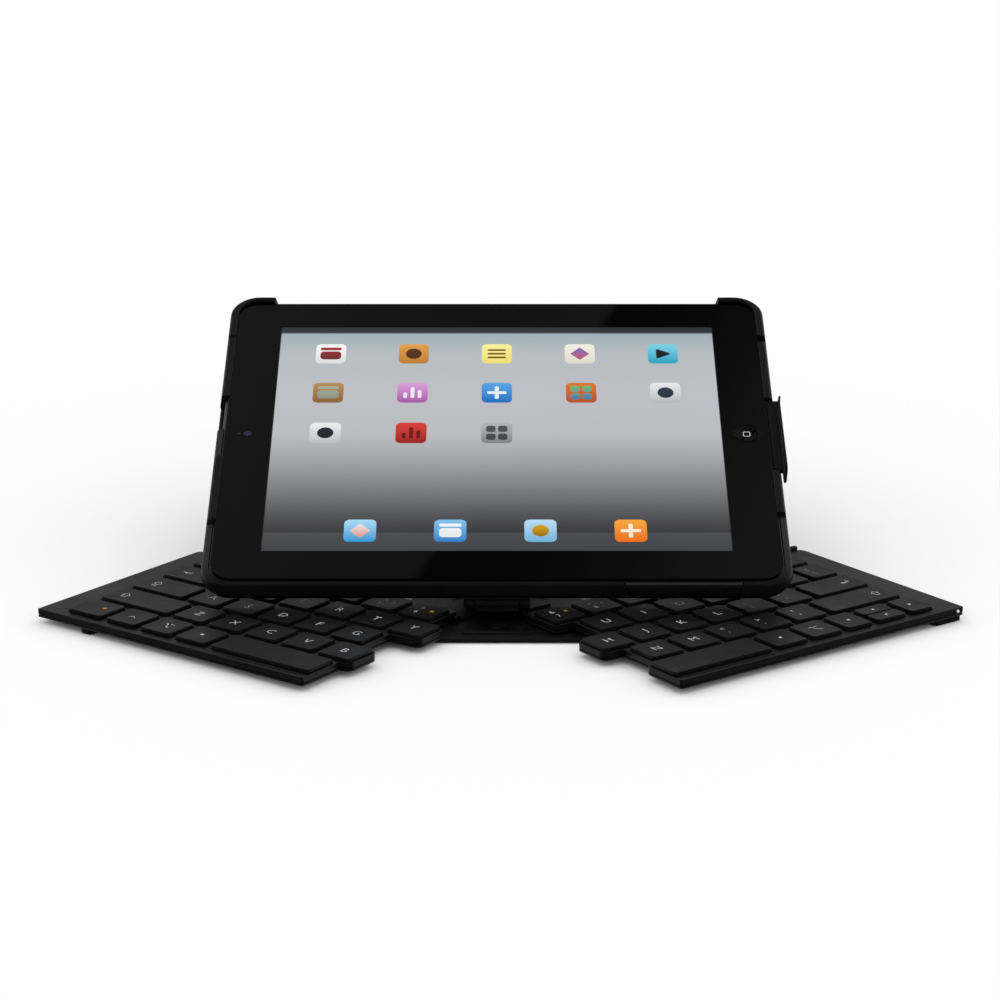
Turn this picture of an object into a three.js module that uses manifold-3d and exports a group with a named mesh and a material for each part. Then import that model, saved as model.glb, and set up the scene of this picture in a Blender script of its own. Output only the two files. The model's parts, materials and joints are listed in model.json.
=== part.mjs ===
// A fold-out keyboard case for a ten-inch tablet, in millimetres, +Z up.
// A flat base carries an upright pivot post. Two keyboard halves swing on it like scissors.
// A clip-on tray above them holds the tablet, tilts on a pin and is propped by a leg that runs on the base.
import * as THREE from "three";
import { mergeVertices } from "three/addons/utils/BufferGeometryUtils.js";
import Module from "manifold-3d";

const wasm = await Module();
wasm.setup();

// Poses of the rest state.
const SWING = THREE.MathUtils.degToRad(36);
const TILT = THREE.MathUtils.degToRad(26.7);

// Heights above the desk.
const PLATE_Z = [0.5, 1.9];
const LEFT_RING_Z = [2.6, 3.7];
const RIGHT_RING_Z = [4.0, 5.1];
const CARRIER_Z = [5.4, 7.2];
const COVER_Z = [2.6, 3.5];
const DECK_Z = [3.8, 6.2];
const BOARD_Z = [3.9, 4.4];
const KEY_Z = [6.3, 7.6];
const WELL_FLOOR_Z = 5.0;
const POCKET_ROOF_Z = 4.6;
const SPINE_TOP_Z = 7.2;
const GAP = 0.3;

// Keyboard half, with y measured from the pivot and x from the line where the halves meet.
// That line lies MEET_X to the right of the pivot while the case is closed.
const MEET_X = 2.2;
const PITCH = 19;
const KEY_GAP = 3.2;
const KEY_DEPTH = PITCH - KEY_GAP;
const KEY_RADIUS = 1.6;
const KEY_CLEAR = 0.4;
const HALF_OUT_X = 148.3;
const KEYS_OUT_X = 135.6;
const FRONT_Y = -123.1;
const BACK_Y = -23.1;
const FIRST_ROW_Y = -110.35;
const SPLIT_X = [-4.75, 0, -9.5, 4.75, -4.75];
const SPLIT_GAP = 0.4;
const WEB_HEIGHT = 0.3;

// Tray frame: x across, y up the tablet, z towards the reader, origin on the tilt pin.
const TILT_PIN = new THREE.Vector3(0, -14.06, 8.84);
const TABLET = { width: 241.2, height: 185.7, thick: 8.8, radius: 11, foot: 1.55, back: 1.4 };
const TABLET_FILL = 3.7;
const TABLET_MID = TABLET.foot + TABLET.height / 2;
const TRAY_WALL = 2.6;
const PORT_Y = [70.5, 116.7];
const TRAY_FIT = 0.3;
const TRAY_BACK = -0.8;
const TRAY_FLOOR = 1.1;
const RIM_TOP = 9.6;
const LIP = [10.5, 11.1];
const LIP_OVER = 1.4;
const GLASS = { width: 238.6, height: 181.2, radius: 9.5 };
const SCREEN = { width: 197, height: 147.8 };
const KNUCKLE_R = 2.1;
const INSERT_X = [52.9, 101.9];
const INSERT_Z = 1.4;
const LEG_LENGTH = 72;
const PIN_BORE = 0.95;
const LEG_BORE = 0.7;
const HINGE_NOTCH = { x: 14.2, y: 3.2, z: 3.9 };

const object = new THREE.Group();

// Shape and solid helpers.

function material(color, roughness, metalness) {
  return new THREE.MeshStandardMaterial({ color, roughness, metalness });
}

function solid(geometry) {
  const bare = geometry.index ? geometry.toNonIndexed() : geometry.clone();
  bare.deleteAttribute("normal");
  bare.deleteAttribute("uv");
  const merged = mergeVertices(bare, 1e-4);
  const mesh = new wasm.Mesh({
    numProp: 3,
    vertProperties: new Float32Array(merged.attributes.position.array),
    triVerts: new Uint32Array(merged.index.array),
  });
  return new wasm.Manifold(mesh);
}

function toGeometry(manifold) {
  const mesh = manifold.getMesh();
  const geometry = new THREE.BufferGeometry();
  geometry.setAttribute("position", new THREE.BufferAttribute(new Float32Array(mesh.vertProperties), 3));
  geometry.setIndex(new THREE.BufferAttribute(new Uint32Array(mesh.triVerts), 1));
  geometry.computeVertexNormals();
  return geometry;
}

function join(pieces) {
  return pieces.reduce((sum, piece) => sum.add(piece));
}

function cut(body, tools) {
  return tools.reduce((rest, tool) => rest.subtract(tool), body);
}

function box(x, y, z) {
  const geometry = new THREE.BoxGeometry(x[1] - x[0], y[1] - y[0], z[1] - z[0]);
  geometry.translate((x[0] + x[1]) / 2, (y[0] + y[1]) / 2, (z[0] + z[1]) / 2);
  return solid(geometry);
}

function prism(points, z) {
  const shape = new THREE.Shape(points.map((p) => new THREE.Vector2(p[0], p[1])));
  const geometry = new THREE.ExtrudeGeometry(shape, { depth: z[1] - z[0], bevelEnabled: false });
  geometry.translate(0, 0, z[0]);
  return solid(geometry);
}

function roundedShape(width, height, radius, midX, midY) {
  const x = midX - width / 2;
  const y = midY - height / 2;
  const shape = new THREE.Shape();
  shape.moveTo(x + radius, y);
  shape.lineTo(x + width - radius, y);
  shape.absarc(x + width - radius, y + radius, radius, -Math.PI / 2, 0);
  shape.lineTo(x + width, y + height - radius);
  shape.absarc(x + width - radius, y + height - radius, radius, 0, Math.PI / 2);
  shape.lineTo(x + radius, y + height);
  shape.absarc(x + radius, y + height - radius, radius, Math.PI / 2, Math.PI);
  shape.lineTo(x, y + radius);
  shape.absarc(x + radius, y + radius, radius, Math.PI, 1.5 * Math.PI);
  return shape;
}

function roundedPlate(width, height, radius, midX, midY, z, steps = 3) {
  const shape = roundedShape(width, height, radius, midX, midY);
  const settings = { depth: z[1] - z[0], bevelEnabled: false, curveSegments: steps };
  const geometry = new THREE.ExtrudeGeometry(shape, settings);
  geometry.translate(0, 0, z[0]);
  return solid(geometry);
}

function upright(radius, x, y, z, sides = 32) {
  const geometry = new THREE.CylinderGeometry(radius, radius, z[1] - z[0], sides);
  geometry.rotateX(Math.PI / 2);
  geometry.translate(x, y, (z[0] + z[1]) / 2);
  return solid(geometry);
}

function crossRod(radius, x, y, z, sides = 20) {
  const geometry = new THREE.CylinderGeometry(radius, radius, x[1] - x[0], sides);
  geometry.rotateZ(Math.PI / 2);
  geometry.translate((x[0] + x[1]) / 2, y, z);
  return solid(geometry);
}

function place(group, name, manifold, look) {
  const mesh = new THREE.Mesh(toGeometry(manifold), look());
  mesh.name = name;
  group.add(mesh);
}

const blackPlastic = () => material("#161617", 0.42, 0);
const keyPlastic = () => material("#1b1b1c", 0.5, 0);
const darkSteel = () => material("#2a2b2d", 0.38, 0.9);
const brightSteel = () => material("#b9bbbe", 0.3, 1);
const rubber = () => material("#0e0e0f", 0.85, 0);
const boardGreen = () => material("#16402c", 0.5, 0);
const blackGlass = () => material("#050506", 0.06, 0);
const displayGrey = () => material("#8d9196", 0.15, 0);
const backAluminium = () => material("#a9abad", 0.35, 1);
const lampWhite = () => material("#dfe6ea", 0.3, 0);

// Base: a thin plate, a raised spine for the leg to run on, and the pivot post.
function buildBase() {
  const base = new THREE.Group();
  object.add(base);
  const barX = 46;
  const barY = [-40.4, -20];
  const hubX = 36;
  const hubY = [-26, 22];
  const spineX = 21;
  const spineEnd = 141;
  const plate = join([
    roundedPlate(2 * barX, barY[1] - barY[0], 4, 0, (barY[0] + barY[1]) / 2, PLATE_Z),
    roundedPlate(2 * hubX, hubY[1] - hubY[0], 4, 0, (hubY[0] + hubY[1]) / 2, PLATE_Z),
    box([-spineX, spineX], [barY[1] - 4, spineEnd], PLATE_Z),
  ]);
  place(base, "base_plate", plate, darkSteel);

  const railX = 20.5;
  const railStart = 22;
  const trackX = 18.5;
  const spine = cut(box([-railX, railX], [railStart, spineEnd - 0.5], [PLATE_Z[1], SPINE_TOP_Z]), [
    box([-trackX, trackX], [railStart + 3, 96], [PLATE_Z[1] + 1.2, SPINE_TOP_Z + 1]),
  ]);
  place(base, "base_spine", spine, blackPlastic);

  const tongue = cut(box([-14, 14], [-33.8, -12], [PLATE_Z[1], 2.3]), [upright(1.9, 0, -25.4, [0, 3], 20)]);
  place(base, "base_tongue", tongue, blackPlastic);
  place(base, "tongue_rivet", upright(1.6, 0, -25.4, [PLATE_Z[1], 2.25], 20), brightSteel);

  place(base, "pivot_post", upright(6, 0, 0, [PLATE_Z[1], CARRIER_Z[0]], 40), brightSteel);
  place(base, "pivot_screw", upright(4.5, 0, 1.5, [CARRIER_Z[1], 7.7], 24), darkSteel);

  place(base, "base_foot_front", roundedPlate(84, 6, 2.9, 0, -34, [0, PLATE_Z[0]]), rubber);
  place(base, "base_foot_rear", roundedPlate(36, 6, 2.9, 0, 134, [0, PLATE_Z[0]]), rubber);
  return base;
}

// Hinge carrier: screwed on the post, it reaches forward over the pivot rings to the tilt pin.
function buildCarrier(base) {
  const { y, z } = TILT_PIN;
  const reach = 9.1;
  const body = join([
    box([-13.5, 13.5], [y + KNUCKLE_R + 0.6, 9], CARRIER_Z),
    box([-reach, reach], [y - 1.2, y + KNUCKLE_R + 1], CARRIER_Z),
    box([-reach, reach], [y - 1.2, y + 1.2], [CARRIER_Z[1] - 0.5, z]),
    crossRod(KNUCKLE_R, [-reach, reach], y, z, 24),
  ]);
  place(base, "hinge_carrier", cut(body, [crossRod(PIN_BORE, [-20, 20], y, z)]), darkSteel);
  place(base, "tilt_pin", crossRod(0.85, [-13.6, 13.6], y, z), brightSteel);
}

// Keyboard halves. side is -1 for the left and +1 for the right.

function halfOutline(side, inset) {
  const gap = SPLIT_GAP + inset;
  const points = [
    [side * (HALF_OUT_X - inset), BACK_Y - inset],
    [side * (HALF_OUT_X - inset), FRONT_Y + inset],
  ];
  SPLIT_X.forEach((x, row) => {
    points.push([x + side * gap, row === 0 ? FRONT_Y + inset : points[points.length - 1][1]]);
    const next = SPLIT_X[row + 1];
    const grows = next === undefined ? 0 : Math.sign(next - x);
    const seam = FIRST_ROW_Y + PITCH * (row + 0.5);
    const y = next === undefined ? BACK_Y - inset : seam - side * grows * gap;
    points.push([x + side * gap, y]);
  });
  return side < 0 ? points : points.reverse();
}

// Rows from the front. Each key is [start, end] along the row, measured from the outer edge inwards.
function rowKeys(side, row) {
  const inner = side * SPLIT_X[row] + KEY_GAP / 2;
  const keys = [];
  const wide = {
    "-1": [[18.4, 15.8, 15.8, 15.8], [37.8], [28.4], [23.4], [13.4]],
    1: [[12.1, 15.8, 13.4, 15.8, 15.8], [38.4], [28.9], [13.8], [23.4]],
  }[side][row];
  let x = KEYS_OUT_X;
  wide.forEach((width) => {
    keys.push([x - width, x]);
    x -= width + KEY_GAP;
  });
  if (row === 0) {
    keys.push([inner, x]);
    return keys;
  }
  const count = Math.round((x - inner + KEY_GAP) / PITCH);
  const step = (x - inner + KEY_GAP) / count;
  for (let i = 0; i < count; i += 1) {
    keys.push([x - step + KEY_GAP, x]);
    x -= step;
  }
  return keys;
}

function keyCap(side, span, midY, depth = KEY_DEPTH, z = KEY_Z) {
  return roundedPlate(span[1] - span[0], depth, KEY_RADIUS, (side * (span[0] + span[1])) / 2, midY, z);
}

const SINGLE_KEYS = {
  "-1": { 0: { 4: "space_key" }, 1: { 0: "shift_key" }, 2: { 0: "caps_key" }, 3: { 0: "tab_key" } },
  1: {
    0: { 0: "right_arrow_key", 2: "left_arrow_key", 5: "space_key" },
    1: { 0: "shift_key" },
    2: { 0: "return_key" },
    4: { 0: "backspace_key" },
  },
};
const STACKED_KEY = 1;

function buildKeys(panel, side, word) {
  SPLIT_X.forEach((unused, row) => {
    const midY = FIRST_ROW_Y + PITCH * row;
    const singles = SINGLE_KEYS[side][row] ?? {};
    const run = [];
    rowKeys(side, row).forEach((span, index) => {
      if (side > 0 && row === 0 && index === STACKED_KEY) {
        const depth = (KEY_DEPTH - 0.8) / 2;
        const shift = (depth + 0.8) / 2;
        place(panel, "down_arrow_key", keyCap(side, span, midY - shift, depth), keyPlastic);
        place(panel, "up_arrow_key", keyCap(side, span, midY + shift, depth), keyPlastic);
      } else if (singles[index]) {
        place(panel, word + "_" + singles[index], keyCap(side, span, midY), keyPlastic);
      } else {
        run.push(span);
      }
    });
    if (run.length) {
      const ends = [Math.min(...run.flat()) + 1, Math.max(...run.flat()) - 1];
      const x = [side * ends[0], side * ends[1]].sort((a, b) => a - b);
      const web = box(x, [midY - 2, midY + 2], [KEY_Z[0], KEY_Z[0] + WEB_HEIGHT]);
      const caps = run.map((span) => keyCap(side, span, midY));
      place(panel, word + "_key_row_" + (row + 1), join([web, ...caps]), keyPlastic);
    }
  });
}

function buildArm(half, side, word) {
  const ring = side < 0 ? LEFT_RING_Z : RIGHT_RING_Z;
  const low = LEFT_RING_Z;
  const armX = [side * 1, side * 16].sort((a, b) => a - b);
  const pieces = [
    upright(9.5, 0, 0, ring, 40),
    box(armX, [-15.5, -2], ring),
    box(armX, [-16.5, -14], [low[0], ring[1]]),
    box([side * 5.6, side * 16].sort((a, b) => a - b), [-40, -14], low),
    box(armX, [-22.5, -14], low),
  ];
  place(half, word + "_pivot_arm", cut(join(pieces), [upright(6.15, 0, 0, [0, 9], 40)]), brightSteel);
}

function buildHalf(side, word) {
  const half = new THREE.Group();
  half.rotation.z = side * SWING;
  object.add(half);
  buildArm(half, side, word);

  const panel = new THREE.Group();
  panel.position.x = MEET_X;
  half.add(panel);
  const slotX = [side * 5 - MEET_X, side * 16.4 - MEET_X].sort((a, b) => a - b);
  const armSlot = box(slotX, [-40.4, -20], [0, LEFT_RING_Z[1] + GAP]);
  const wells = SPLIT_X.map((unused, row) => {
    const spans = rowKeys(side, row).flat();
    const x = [side * (Math.min(...spans) - KEY_CLEAR), side * (Math.max(...spans) + KEY_CLEAR)];
    const midY = FIRST_ROW_Y + PITCH * row;
    const reach = KEY_DEPTH / 2 + KEY_CLEAR;
    return box(x.sort((a, b) => a - b), [midY - reach, midY + reach], [WELL_FLOOR_Z, 9]);
  });
  const pocket = prism(halfOutline(side, 2), [0, POCKET_ROOF_Z]);
  const deck = cut(prism(halfOutline(side, 0), DECK_Z), [...wells, pocket, armSlot]);
  place(panel, word + "_deck", deck, blackPlastic);

  place(panel, word + "_bottom_cover", cut(prism(halfOutline(side, 0), COVER_Z), [armSlot]), blackPlastic);
  const board = cut(prism(halfOutline(side, 2.4), BOARD_Z), [armSlot]);
  place(panel, word + "_circuit_board", board, boardGreen);
  buildKeys(panel, side, word);

  const footZ = [0, COVER_Z[0] - GAP];
  place(panel, word + "_inner_foot", roundedPlate(30, 5, 2.4, side * 28, FRONT_Y + 12, footZ), rubber);
  const outerX = side < 0 ? 122 : HALF_OUT_X - 7.45;
  const outerWidth = side < 0 ? 6 : 14.9;
  const outer = roundedPlate(outerWidth, 88, 1.5, side * outerX, FRONT_Y + 45, footZ);
  place(panel, word + "_outer_foot", outer, rubber);
  return panel;
}

// Small parts that only the right half has.
function buildRightExtras(panel) {
  place(panel, "power_switch", box([143.2, 146.7], [BACK_Y + GAP, BACK_Y + 2.3], [4.2, KEY_Z[1]]), blackPlastic);
  const lamp = new THREE.CylinderGeometry(0.7, 0.7, 0.5, 12);
  lamp.translate(144.5, FRONT_Y - GAP - 0.25, 5);
  place(panel, "status_lamp", solid(lamp), lampWhite);
}

// Tray: a back plate with rims, corner caps and lips, cut open for the leg, the camera and the connector.
function trayBody() {
  const outWidth = TABLET.width + 2 * (TRAY_WALL + TRAY_FIT) - 0.4;
  const outHeight = TABLET.height + 2 * (TRAY_WALL + TRAY_FIT);
  const shape = roundedShape(outWidth, outHeight, 13.5, 0, TABLET_MID);
  const bevel = { bevelThickness: 3, bevelSize: 3, bevelOffset: -3, bevelSegments: 3 };
  const blank = new THREE.ExtrudeGeometry(shape, { depth: 14, curveSegments: 5, ...bevel });
  blank.translate(0, 0, TRAY_BACK + 3);
  const outer = solid(blank);
  const innerWidth = TABLET.width + 2 * TRAY_FIT;
  const innerHeight = TABLET.height + 2 * TRAY_FIT;
  const bore = roundedPlate(innerWidth, innerHeight, 11.2, 0, TABLET_MID, [TRAY_FLOOR, 30], 5);
  const mouth = roundedPlate(
    TABLET.width - 2 * LIP_OVER, TABLET.height - 2 * LIP_OVER, 10, 0, TABLET_MID, [0, 30], 5);
  const side = TABLET.width / 2;
  const top = TABLET.foot + TABLET.height;
  const up = (b) => b + 20.5;

  const rim = cut(outer, [bore, box([-200, 200], [-50, 250], [RIM_TOP, 30])]);
  const lipBand = cut(outer, [mouth, box([-200, 200], [-50, 250], [-9, LIP[0]])]);
  const lip = cut(lipBand, [box([-200, 200], [-50, 250], [LIP[1], 30])]);
  const wallBand = cut(outer, [bore, box([-200, 200], [-50, 250], [-9, RIM_TOP - 1])]);
  const wall = cut(wallBand, [box([-200, 200], [-50, 250], [LIP[1] - 0.1, 30])]);
  const lipSpans = [
    [[-140, -(side - 6)], [up(17.9), up(59.7)]],
    [[-140, -(side - 6)], [up(97.6), up(140)]],
    [[side - 6, 140], [up(22.3), PORT_Y[0]]],
    [[side - 6, 140], [PORT_Y[1], up(136.7)]],
    [[-140, -101.7], [up(140), top + 9]],
    [[101.7, 140], [up(140.3), top + 9]],
  ];
  const clips = lipSpans.map(([x, y]) => lip.add(wall).intersect(box(x, y, [0, 30])));
  return cut(join([rim, ...clips]), [
    box([-101.7, 101.7], [top - 2, top + 9], [3.2, 30]),
    box([side, side + 9], PORT_Y, [2.6, 30]),
    box([-side - 9, -side], [up(79), up(97.6)], [5.4, 30]),
    box(INSERT_X, [-9, TABLET.foot - TRAY_FIT], [INSERT_Z, 30]),
    roundedPlate(14, 14, 4, -104, top - 13, [-5, 2]),
  ]);
}

function buildTray() {
  const tray = new THREE.Group();
  tray.position.copy(TILT_PIN);
  tray.rotation.x = TILT;
  object.add(tray);

  // Hinge leaf: two knuckles on a crossbar that is let into a notch under the bottom wall.
  const leafX = [9.4, 13.8];
  const leafTop = HINGE_NOTCH.z - GAP;
  const knuckles = [-1, 1].map((side) => {
    const x = [side * leafX[0], side * leafX[1]].sort((a, b) => a - b);
    return join([crossRod(KNUCKLE_R, x, 0, 0, 24), box(x, [-1.2, 1.1], [0, leafTop])]);
  });
  const crossbar = box([-leafX[1], leafX[1]], [-1.2, 1.1], [KNUCKLE_R + 0.4, leafTop]);
  const leaf = cut(join([...knuckles, crossbar]), [crossRod(PIN_BORE, [-20, 20], 0, 0)]);
  place(tray, "tray_hinge_leaf", leaf, darkSteel);

  const legWindow = box([-19, 19], [LEG_LENGTH - 2.2, 2 * LEG_LENGTH + 3], [-5, 2]);
  const notch = box([-HINGE_NOTCH.x, HINGE_NOTCH.x], [-9, HINGE_NOTCH.y], [-5, HINGE_NOTCH.z]);
  const ears = [-1, 1].map((side) => {
    const x = [side * 16.6, side * 19.2].sort((a, b) => a - b);
    return box(x, [LEG_LENGTH - 2, LEG_LENGTH + 2], [TRAY_BACK, TRAY_FLOOR]);
  });
  const body = join([cut(trayBody(), [legWindow, notch]), ...ears]);
  const legBore = crossRod(LEG_BORE, [-18.4, 18.4], LEG_LENGTH, 0, 16);
  place(tray, "tablet_tray", cut(body, [legBore]), blackPlastic);

  // Connector guard: a ledge over the tablet's edge with an outer fin, where the right wall is cut away.
  const side = TABLET.width / 2;
  const guardY = [PORT_Y[0] + GAP, PORT_Y[1] - GAP];
  const guardZ = [8.2, 9.9];
  const guard = join([
    box([side + 0.6, side + 5.2], guardY, guardZ),
    box([side - 0.9, side + 0.8], guardY, [9.2, guardZ[1]]),
    box([side + 4.1, side + 5.2], guardY, [guardZ[0], 12.9]),
    box([side + 3.2, side + 5.2], [guardY[0] - 6.4, guardY[0] + 1], guardZ),
  ]);
  place(tray, "connector_guard", guard, blackPlastic);

  // Insert: a long inlay that fills a notch in the bottom wall.
  const insertX = [INSERT_X[0] + GAP, INSERT_X[1] - GAP];
  const insert = box(insertX, [-1.2, TABLET.foot - TRAY_FIT - 0.1], [INSERT_Z + GAP, RIM_TOP + 0.3]);
  place(tray, "bottom_wall_insert", insert, blackPlastic);
  buildTablet(tray);
  buildLeg(tray);
}

function buildLeg(tray) {
  const leg = new THREE.Group();
  leg.position.set(0, LEG_LENGTH, 0);
  leg.rotation.x = -2 * TILT;
  tray.add(leg);
  const body = join([
    crossRod(1.2, [-16.2, 16.2], 0, 0, 20),
    box([-16.2, 16.2], [0, LEG_LENGTH], [-0.7, 0.7]),
    crossRod(1.3, [-16.2, 16.2], LEG_LENGTH, 0, 20),
  ]);
  const window = roundedPlate(22, LEG_LENGTH - 22, 4, 0, LEG_LENGTH / 2 + 2, [-3, 3]);
  place(leg, "prop_leg", cut(body, [window, crossRod(LEG_BORE, [-20, 20], 0, 0, 16)]), darkSteel);
  place(leg, "leg_pin", crossRod(0.6, [-18, 18], 0, 0, 16), brightSteel);
}

// The tablet that the tray holds: a metal back, a glass front with its screen, and a round button.
function buildTablet(tray) {
  const { width, height, radius, back, thick } = TABLET;
  const glassZ = [back + thick - 1, back + thick];
  const shape = roundedShape(width, height, radius, 0, TABLET_MID);
  const bevel = { bevelThickness: 3, bevelSize: 3, bevelOffset: -3, bevelSegments: 2 };
  const blank = new THREE.ExtrudeGeometry(shape, { depth: 14, curveSegments: 4, ...bevel });
  blank.translate(0, 0, back + 3);
  const cavity = roundedPlate(width - 5, height - 5, radius - 2, 0, TABLET_MID, [back + TABLET_FILL, 30], 4);
  const body = cut(solid(blank), [box([-200, 200], [-50, 250], [glassZ[0] - GAP, 30]), cavity]);
  place(tray, "tablet_body", body, backAluminium);

  const buttonX = SCREEN.width / 2 + 11;
  const window = box(
    [-SCREEN.width / 2, SCREEN.width / 2],
    [TABLET_MID - SCREEN.height / 2, TABLET_MID + SCREEN.height / 2],
    [0, 20]);
  const front = roundedPlate(GLASS.width, GLASS.height, GLASS.radius, 0, TABLET_MID, glassZ, 4);
  const bezel = cut(front, [window, upright(5.8, buttonX, TABLET_MID, [0, 20], 24)]);
  place(tray, "tablet_bezel", bezel, blackGlass);

  const inset = GAP;
  const display = box(
    [-SCREEN.width / 2 + inset, SCREEN.width / 2 - inset],
    [TABLET_MID - SCREEN.height / 2 + inset, TABLET_MID + SCREEN.height / 2 - inset],
    glassZ);
  place(tray, "tablet_display", display, displayGrey);
  place(tray, "tablet_button", upright(5.5, buttonX, TABLET_MID, [glassZ[0] + 0.25, glassZ[1]], 24), blackGlass);
}

const base = buildBase();
buildCarrier(base);
buildHalf(-1, "left");
buildRightExtras(buildHalf(1, "right"));
buildTray();

// The origin is the middle of the object's own box, on the desk.
object.updateMatrixWorld(true);
const bounds = new THREE.Box3().setFromObject(object, true);
object.position.y = -(bounds.min.y + bounds.max.y) / 2;
object.position.x = -(bounds.min.x + bounds.max.x) / 2;

export default object;
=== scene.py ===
# %% [markdown]
# # A fold-out keyboard case for a ten-inch tablet
#
# The case is a flat steel base with a pivot post, two keyboard halves that swing on the post like scissors,
# and a clip-on tray that tilts above them on a prop leg. Every moving part is already in place in the
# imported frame, so this lesson gives each part its moulded shape and its finish, and then lights it.

# %% Load the frame
import json
import math

import bmesh
import bpy
import numpy as np
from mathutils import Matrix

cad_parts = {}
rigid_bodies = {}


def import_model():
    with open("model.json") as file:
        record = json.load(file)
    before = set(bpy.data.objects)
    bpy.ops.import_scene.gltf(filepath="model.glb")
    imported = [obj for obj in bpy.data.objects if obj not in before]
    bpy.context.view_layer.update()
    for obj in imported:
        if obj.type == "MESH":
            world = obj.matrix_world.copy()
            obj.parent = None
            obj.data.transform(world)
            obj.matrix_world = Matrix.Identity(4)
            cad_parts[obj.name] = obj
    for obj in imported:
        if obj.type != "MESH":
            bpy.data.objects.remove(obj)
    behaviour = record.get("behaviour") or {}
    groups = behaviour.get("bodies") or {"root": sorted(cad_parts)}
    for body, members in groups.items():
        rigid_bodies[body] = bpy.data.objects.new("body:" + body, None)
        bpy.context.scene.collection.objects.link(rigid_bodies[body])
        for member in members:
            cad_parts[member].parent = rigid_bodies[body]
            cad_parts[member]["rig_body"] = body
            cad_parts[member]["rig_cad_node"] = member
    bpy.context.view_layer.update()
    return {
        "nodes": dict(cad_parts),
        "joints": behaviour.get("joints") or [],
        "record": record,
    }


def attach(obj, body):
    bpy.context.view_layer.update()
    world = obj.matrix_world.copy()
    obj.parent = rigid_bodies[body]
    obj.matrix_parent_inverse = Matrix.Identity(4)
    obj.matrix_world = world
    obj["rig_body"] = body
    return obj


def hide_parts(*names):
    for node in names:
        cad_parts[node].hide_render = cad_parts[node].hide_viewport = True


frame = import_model()
MM = 0.001
joints = {joint["name"]: joint for joint in frame["joints"]}
node_body = {node: body for body, nodes in frame["record"]["behaviour"]["bodies"].items() for node in nodes}

# %% [markdown]
# ## Where things are
#
# Three frames hold the whole object. The tray frame starts on the tilt pin, with its second axis up the
# tablet. Each keyboard half and the base have a frame on the pivot post. Shapes are worked out flat in
# these frames, in millimetres, and are then turned and moved as whole arrays of points, so each object
# stays at the origin.

# %% Local frames
SWING = math.radians(joints["left_swing"]["range_deg"][1])
TILT = -math.radians(joints["tray_tilt"]["range_deg"][0])
PIVOT = np.array(joints["left_swing"]["pos_m"]) * [1, 1, 0]
TILT_PIN = np.array(joints["tray_tilt"]["pos_m"])
MEET_X = 2.2


def turn_x(points, angle):
    """Turns points about X: the second axis leans towards the third by the angle."""
    c, s = math.cos(angle), math.sin(angle)
    return points @ np.array([[1, 0, 0], [0, c, s], [0, -s, c]])


def turn_z(points, angle):
    """Turns points about Z: the first axis leans towards the second by the angle."""
    c, s = math.cos(angle), math.sin(angle)
    return points @ np.array([[c, s, 0], [-s, c, 0], [0, 0, 1]])


def on_tray(points):
    """Places points measured from the tilt pin, across the tray, up it and out of its face."""
    return turn_x(np.asarray(points, float) * MM, TILT) + TILT_PIN


def on_base(points):
    """Places points measured from the foot of the pivot post."""
    return np.asarray(points, float) * MM + PIVOT


def on_half(side):
    """Places points measured from the line where the halves meet, which lies MEET_X right of the pivot."""
    return lambda points: turn_z((np.asarray(points, float) + [MEET_X, 0, 0]) * MM, side * SWING) + PIVOT


print("swing", round(math.degrees(SWING), 1), "tilt", round(math.degrees(TILT), 1))

# %% [markdown]
# ## The camera
#
# A long lens keeps the case nearly free of perspective, as in a catalogue picture. The camera stands a
# metre in front of the case and looks down at it by sixteen degrees.

# %% Camera
CAMERA_FROM_PIVOT = (0, -1.04946, 0.35256)
CAMERA_PITCH = 16.13
camera_data = bpy.data.cameras.new("studio_camera")
camera_data.sensor_width = 36
camera_data.lens = 94.7
camera_data.shift_x = 0.0032
camera = bpy.data.objects.new("studio_camera", camera_data)
camera.location = PIVOT + CAMERA_FROM_PIVOT
camera.rotation_euler = (math.radians(90 - CAMERA_PITCH), 0, 0)
bpy.context.scene.collection.objects.link(camera)
bpy.context.scene.camera = camera
print("camera", [round(v, 4) for v in camera.location])

# %% [markdown]
# ## Finishes
#
# The real case is nearly all one colour, so its finishes are told apart by gloss and grain. Colours are
# written as sRGB hex values and turned to linear light by one function. One more function adds a shader
# node with its settings and links. Grain sizes are in millimetres and become a noise scale per metre.

# %% Colour and node helpers


def linear(code):
    """Turns an sRGB hex colour into linear light, channel by channel."""
    value = np.array([int(code[i:i + 2], 16) for i in (1, 3, 5)]) / 255
    low = value / 12.92
    high = ((value + 0.055) / 1.055) ** 2.4
    return tuple(np.where(value <= 0.04045, low, high)) + (1.0,)


def node(tree, kind, settings=None, **links):
    """Adds a node. Links give each input, by its name with _ for a space, a value or another socket."""
    made = tree.nodes.new(kind)
    for name, value in (settings or {}).items():
        setattr(made, name, value)
    for name, value in links.items():
        key = int(name[1:]) if name[0] == "i" and name[1:].isdigit() else name.replace("_", " ")
        if isinstance(value, bpy.types.NodeSocket):
            tree.links.new(value, made.inputs[key])
        else:
            made.inputs[key].default_value = value
    return made


def finish_named(name, colour, roughness, **shader):
    """A new material with a plain shader, which the functions below make uneven."""
    made = bpy.data.materials.new(name)
    made.use_nodes = True
    tree = made.node_tree
    tree.nodes.clear()
    even = {"Base_Color": linear(colour), "Roughness": roughness}
    bsdf = node(tree, "ShaderNodeBsdfPrincipled", None, **even, **shader)
    node(tree, "ShaderNodeOutputMaterial", None, Surface=bsdf.outputs[0])
    made.diffuse_color = linear(colour)
    return made


def feed(finish, socket, source):
    """Leads a value or colour into the finish's shader."""
    tree = finish.node_tree
    tree.links.new(source, tree.nodes["Principled BSDF"].inputs[socket])


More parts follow.
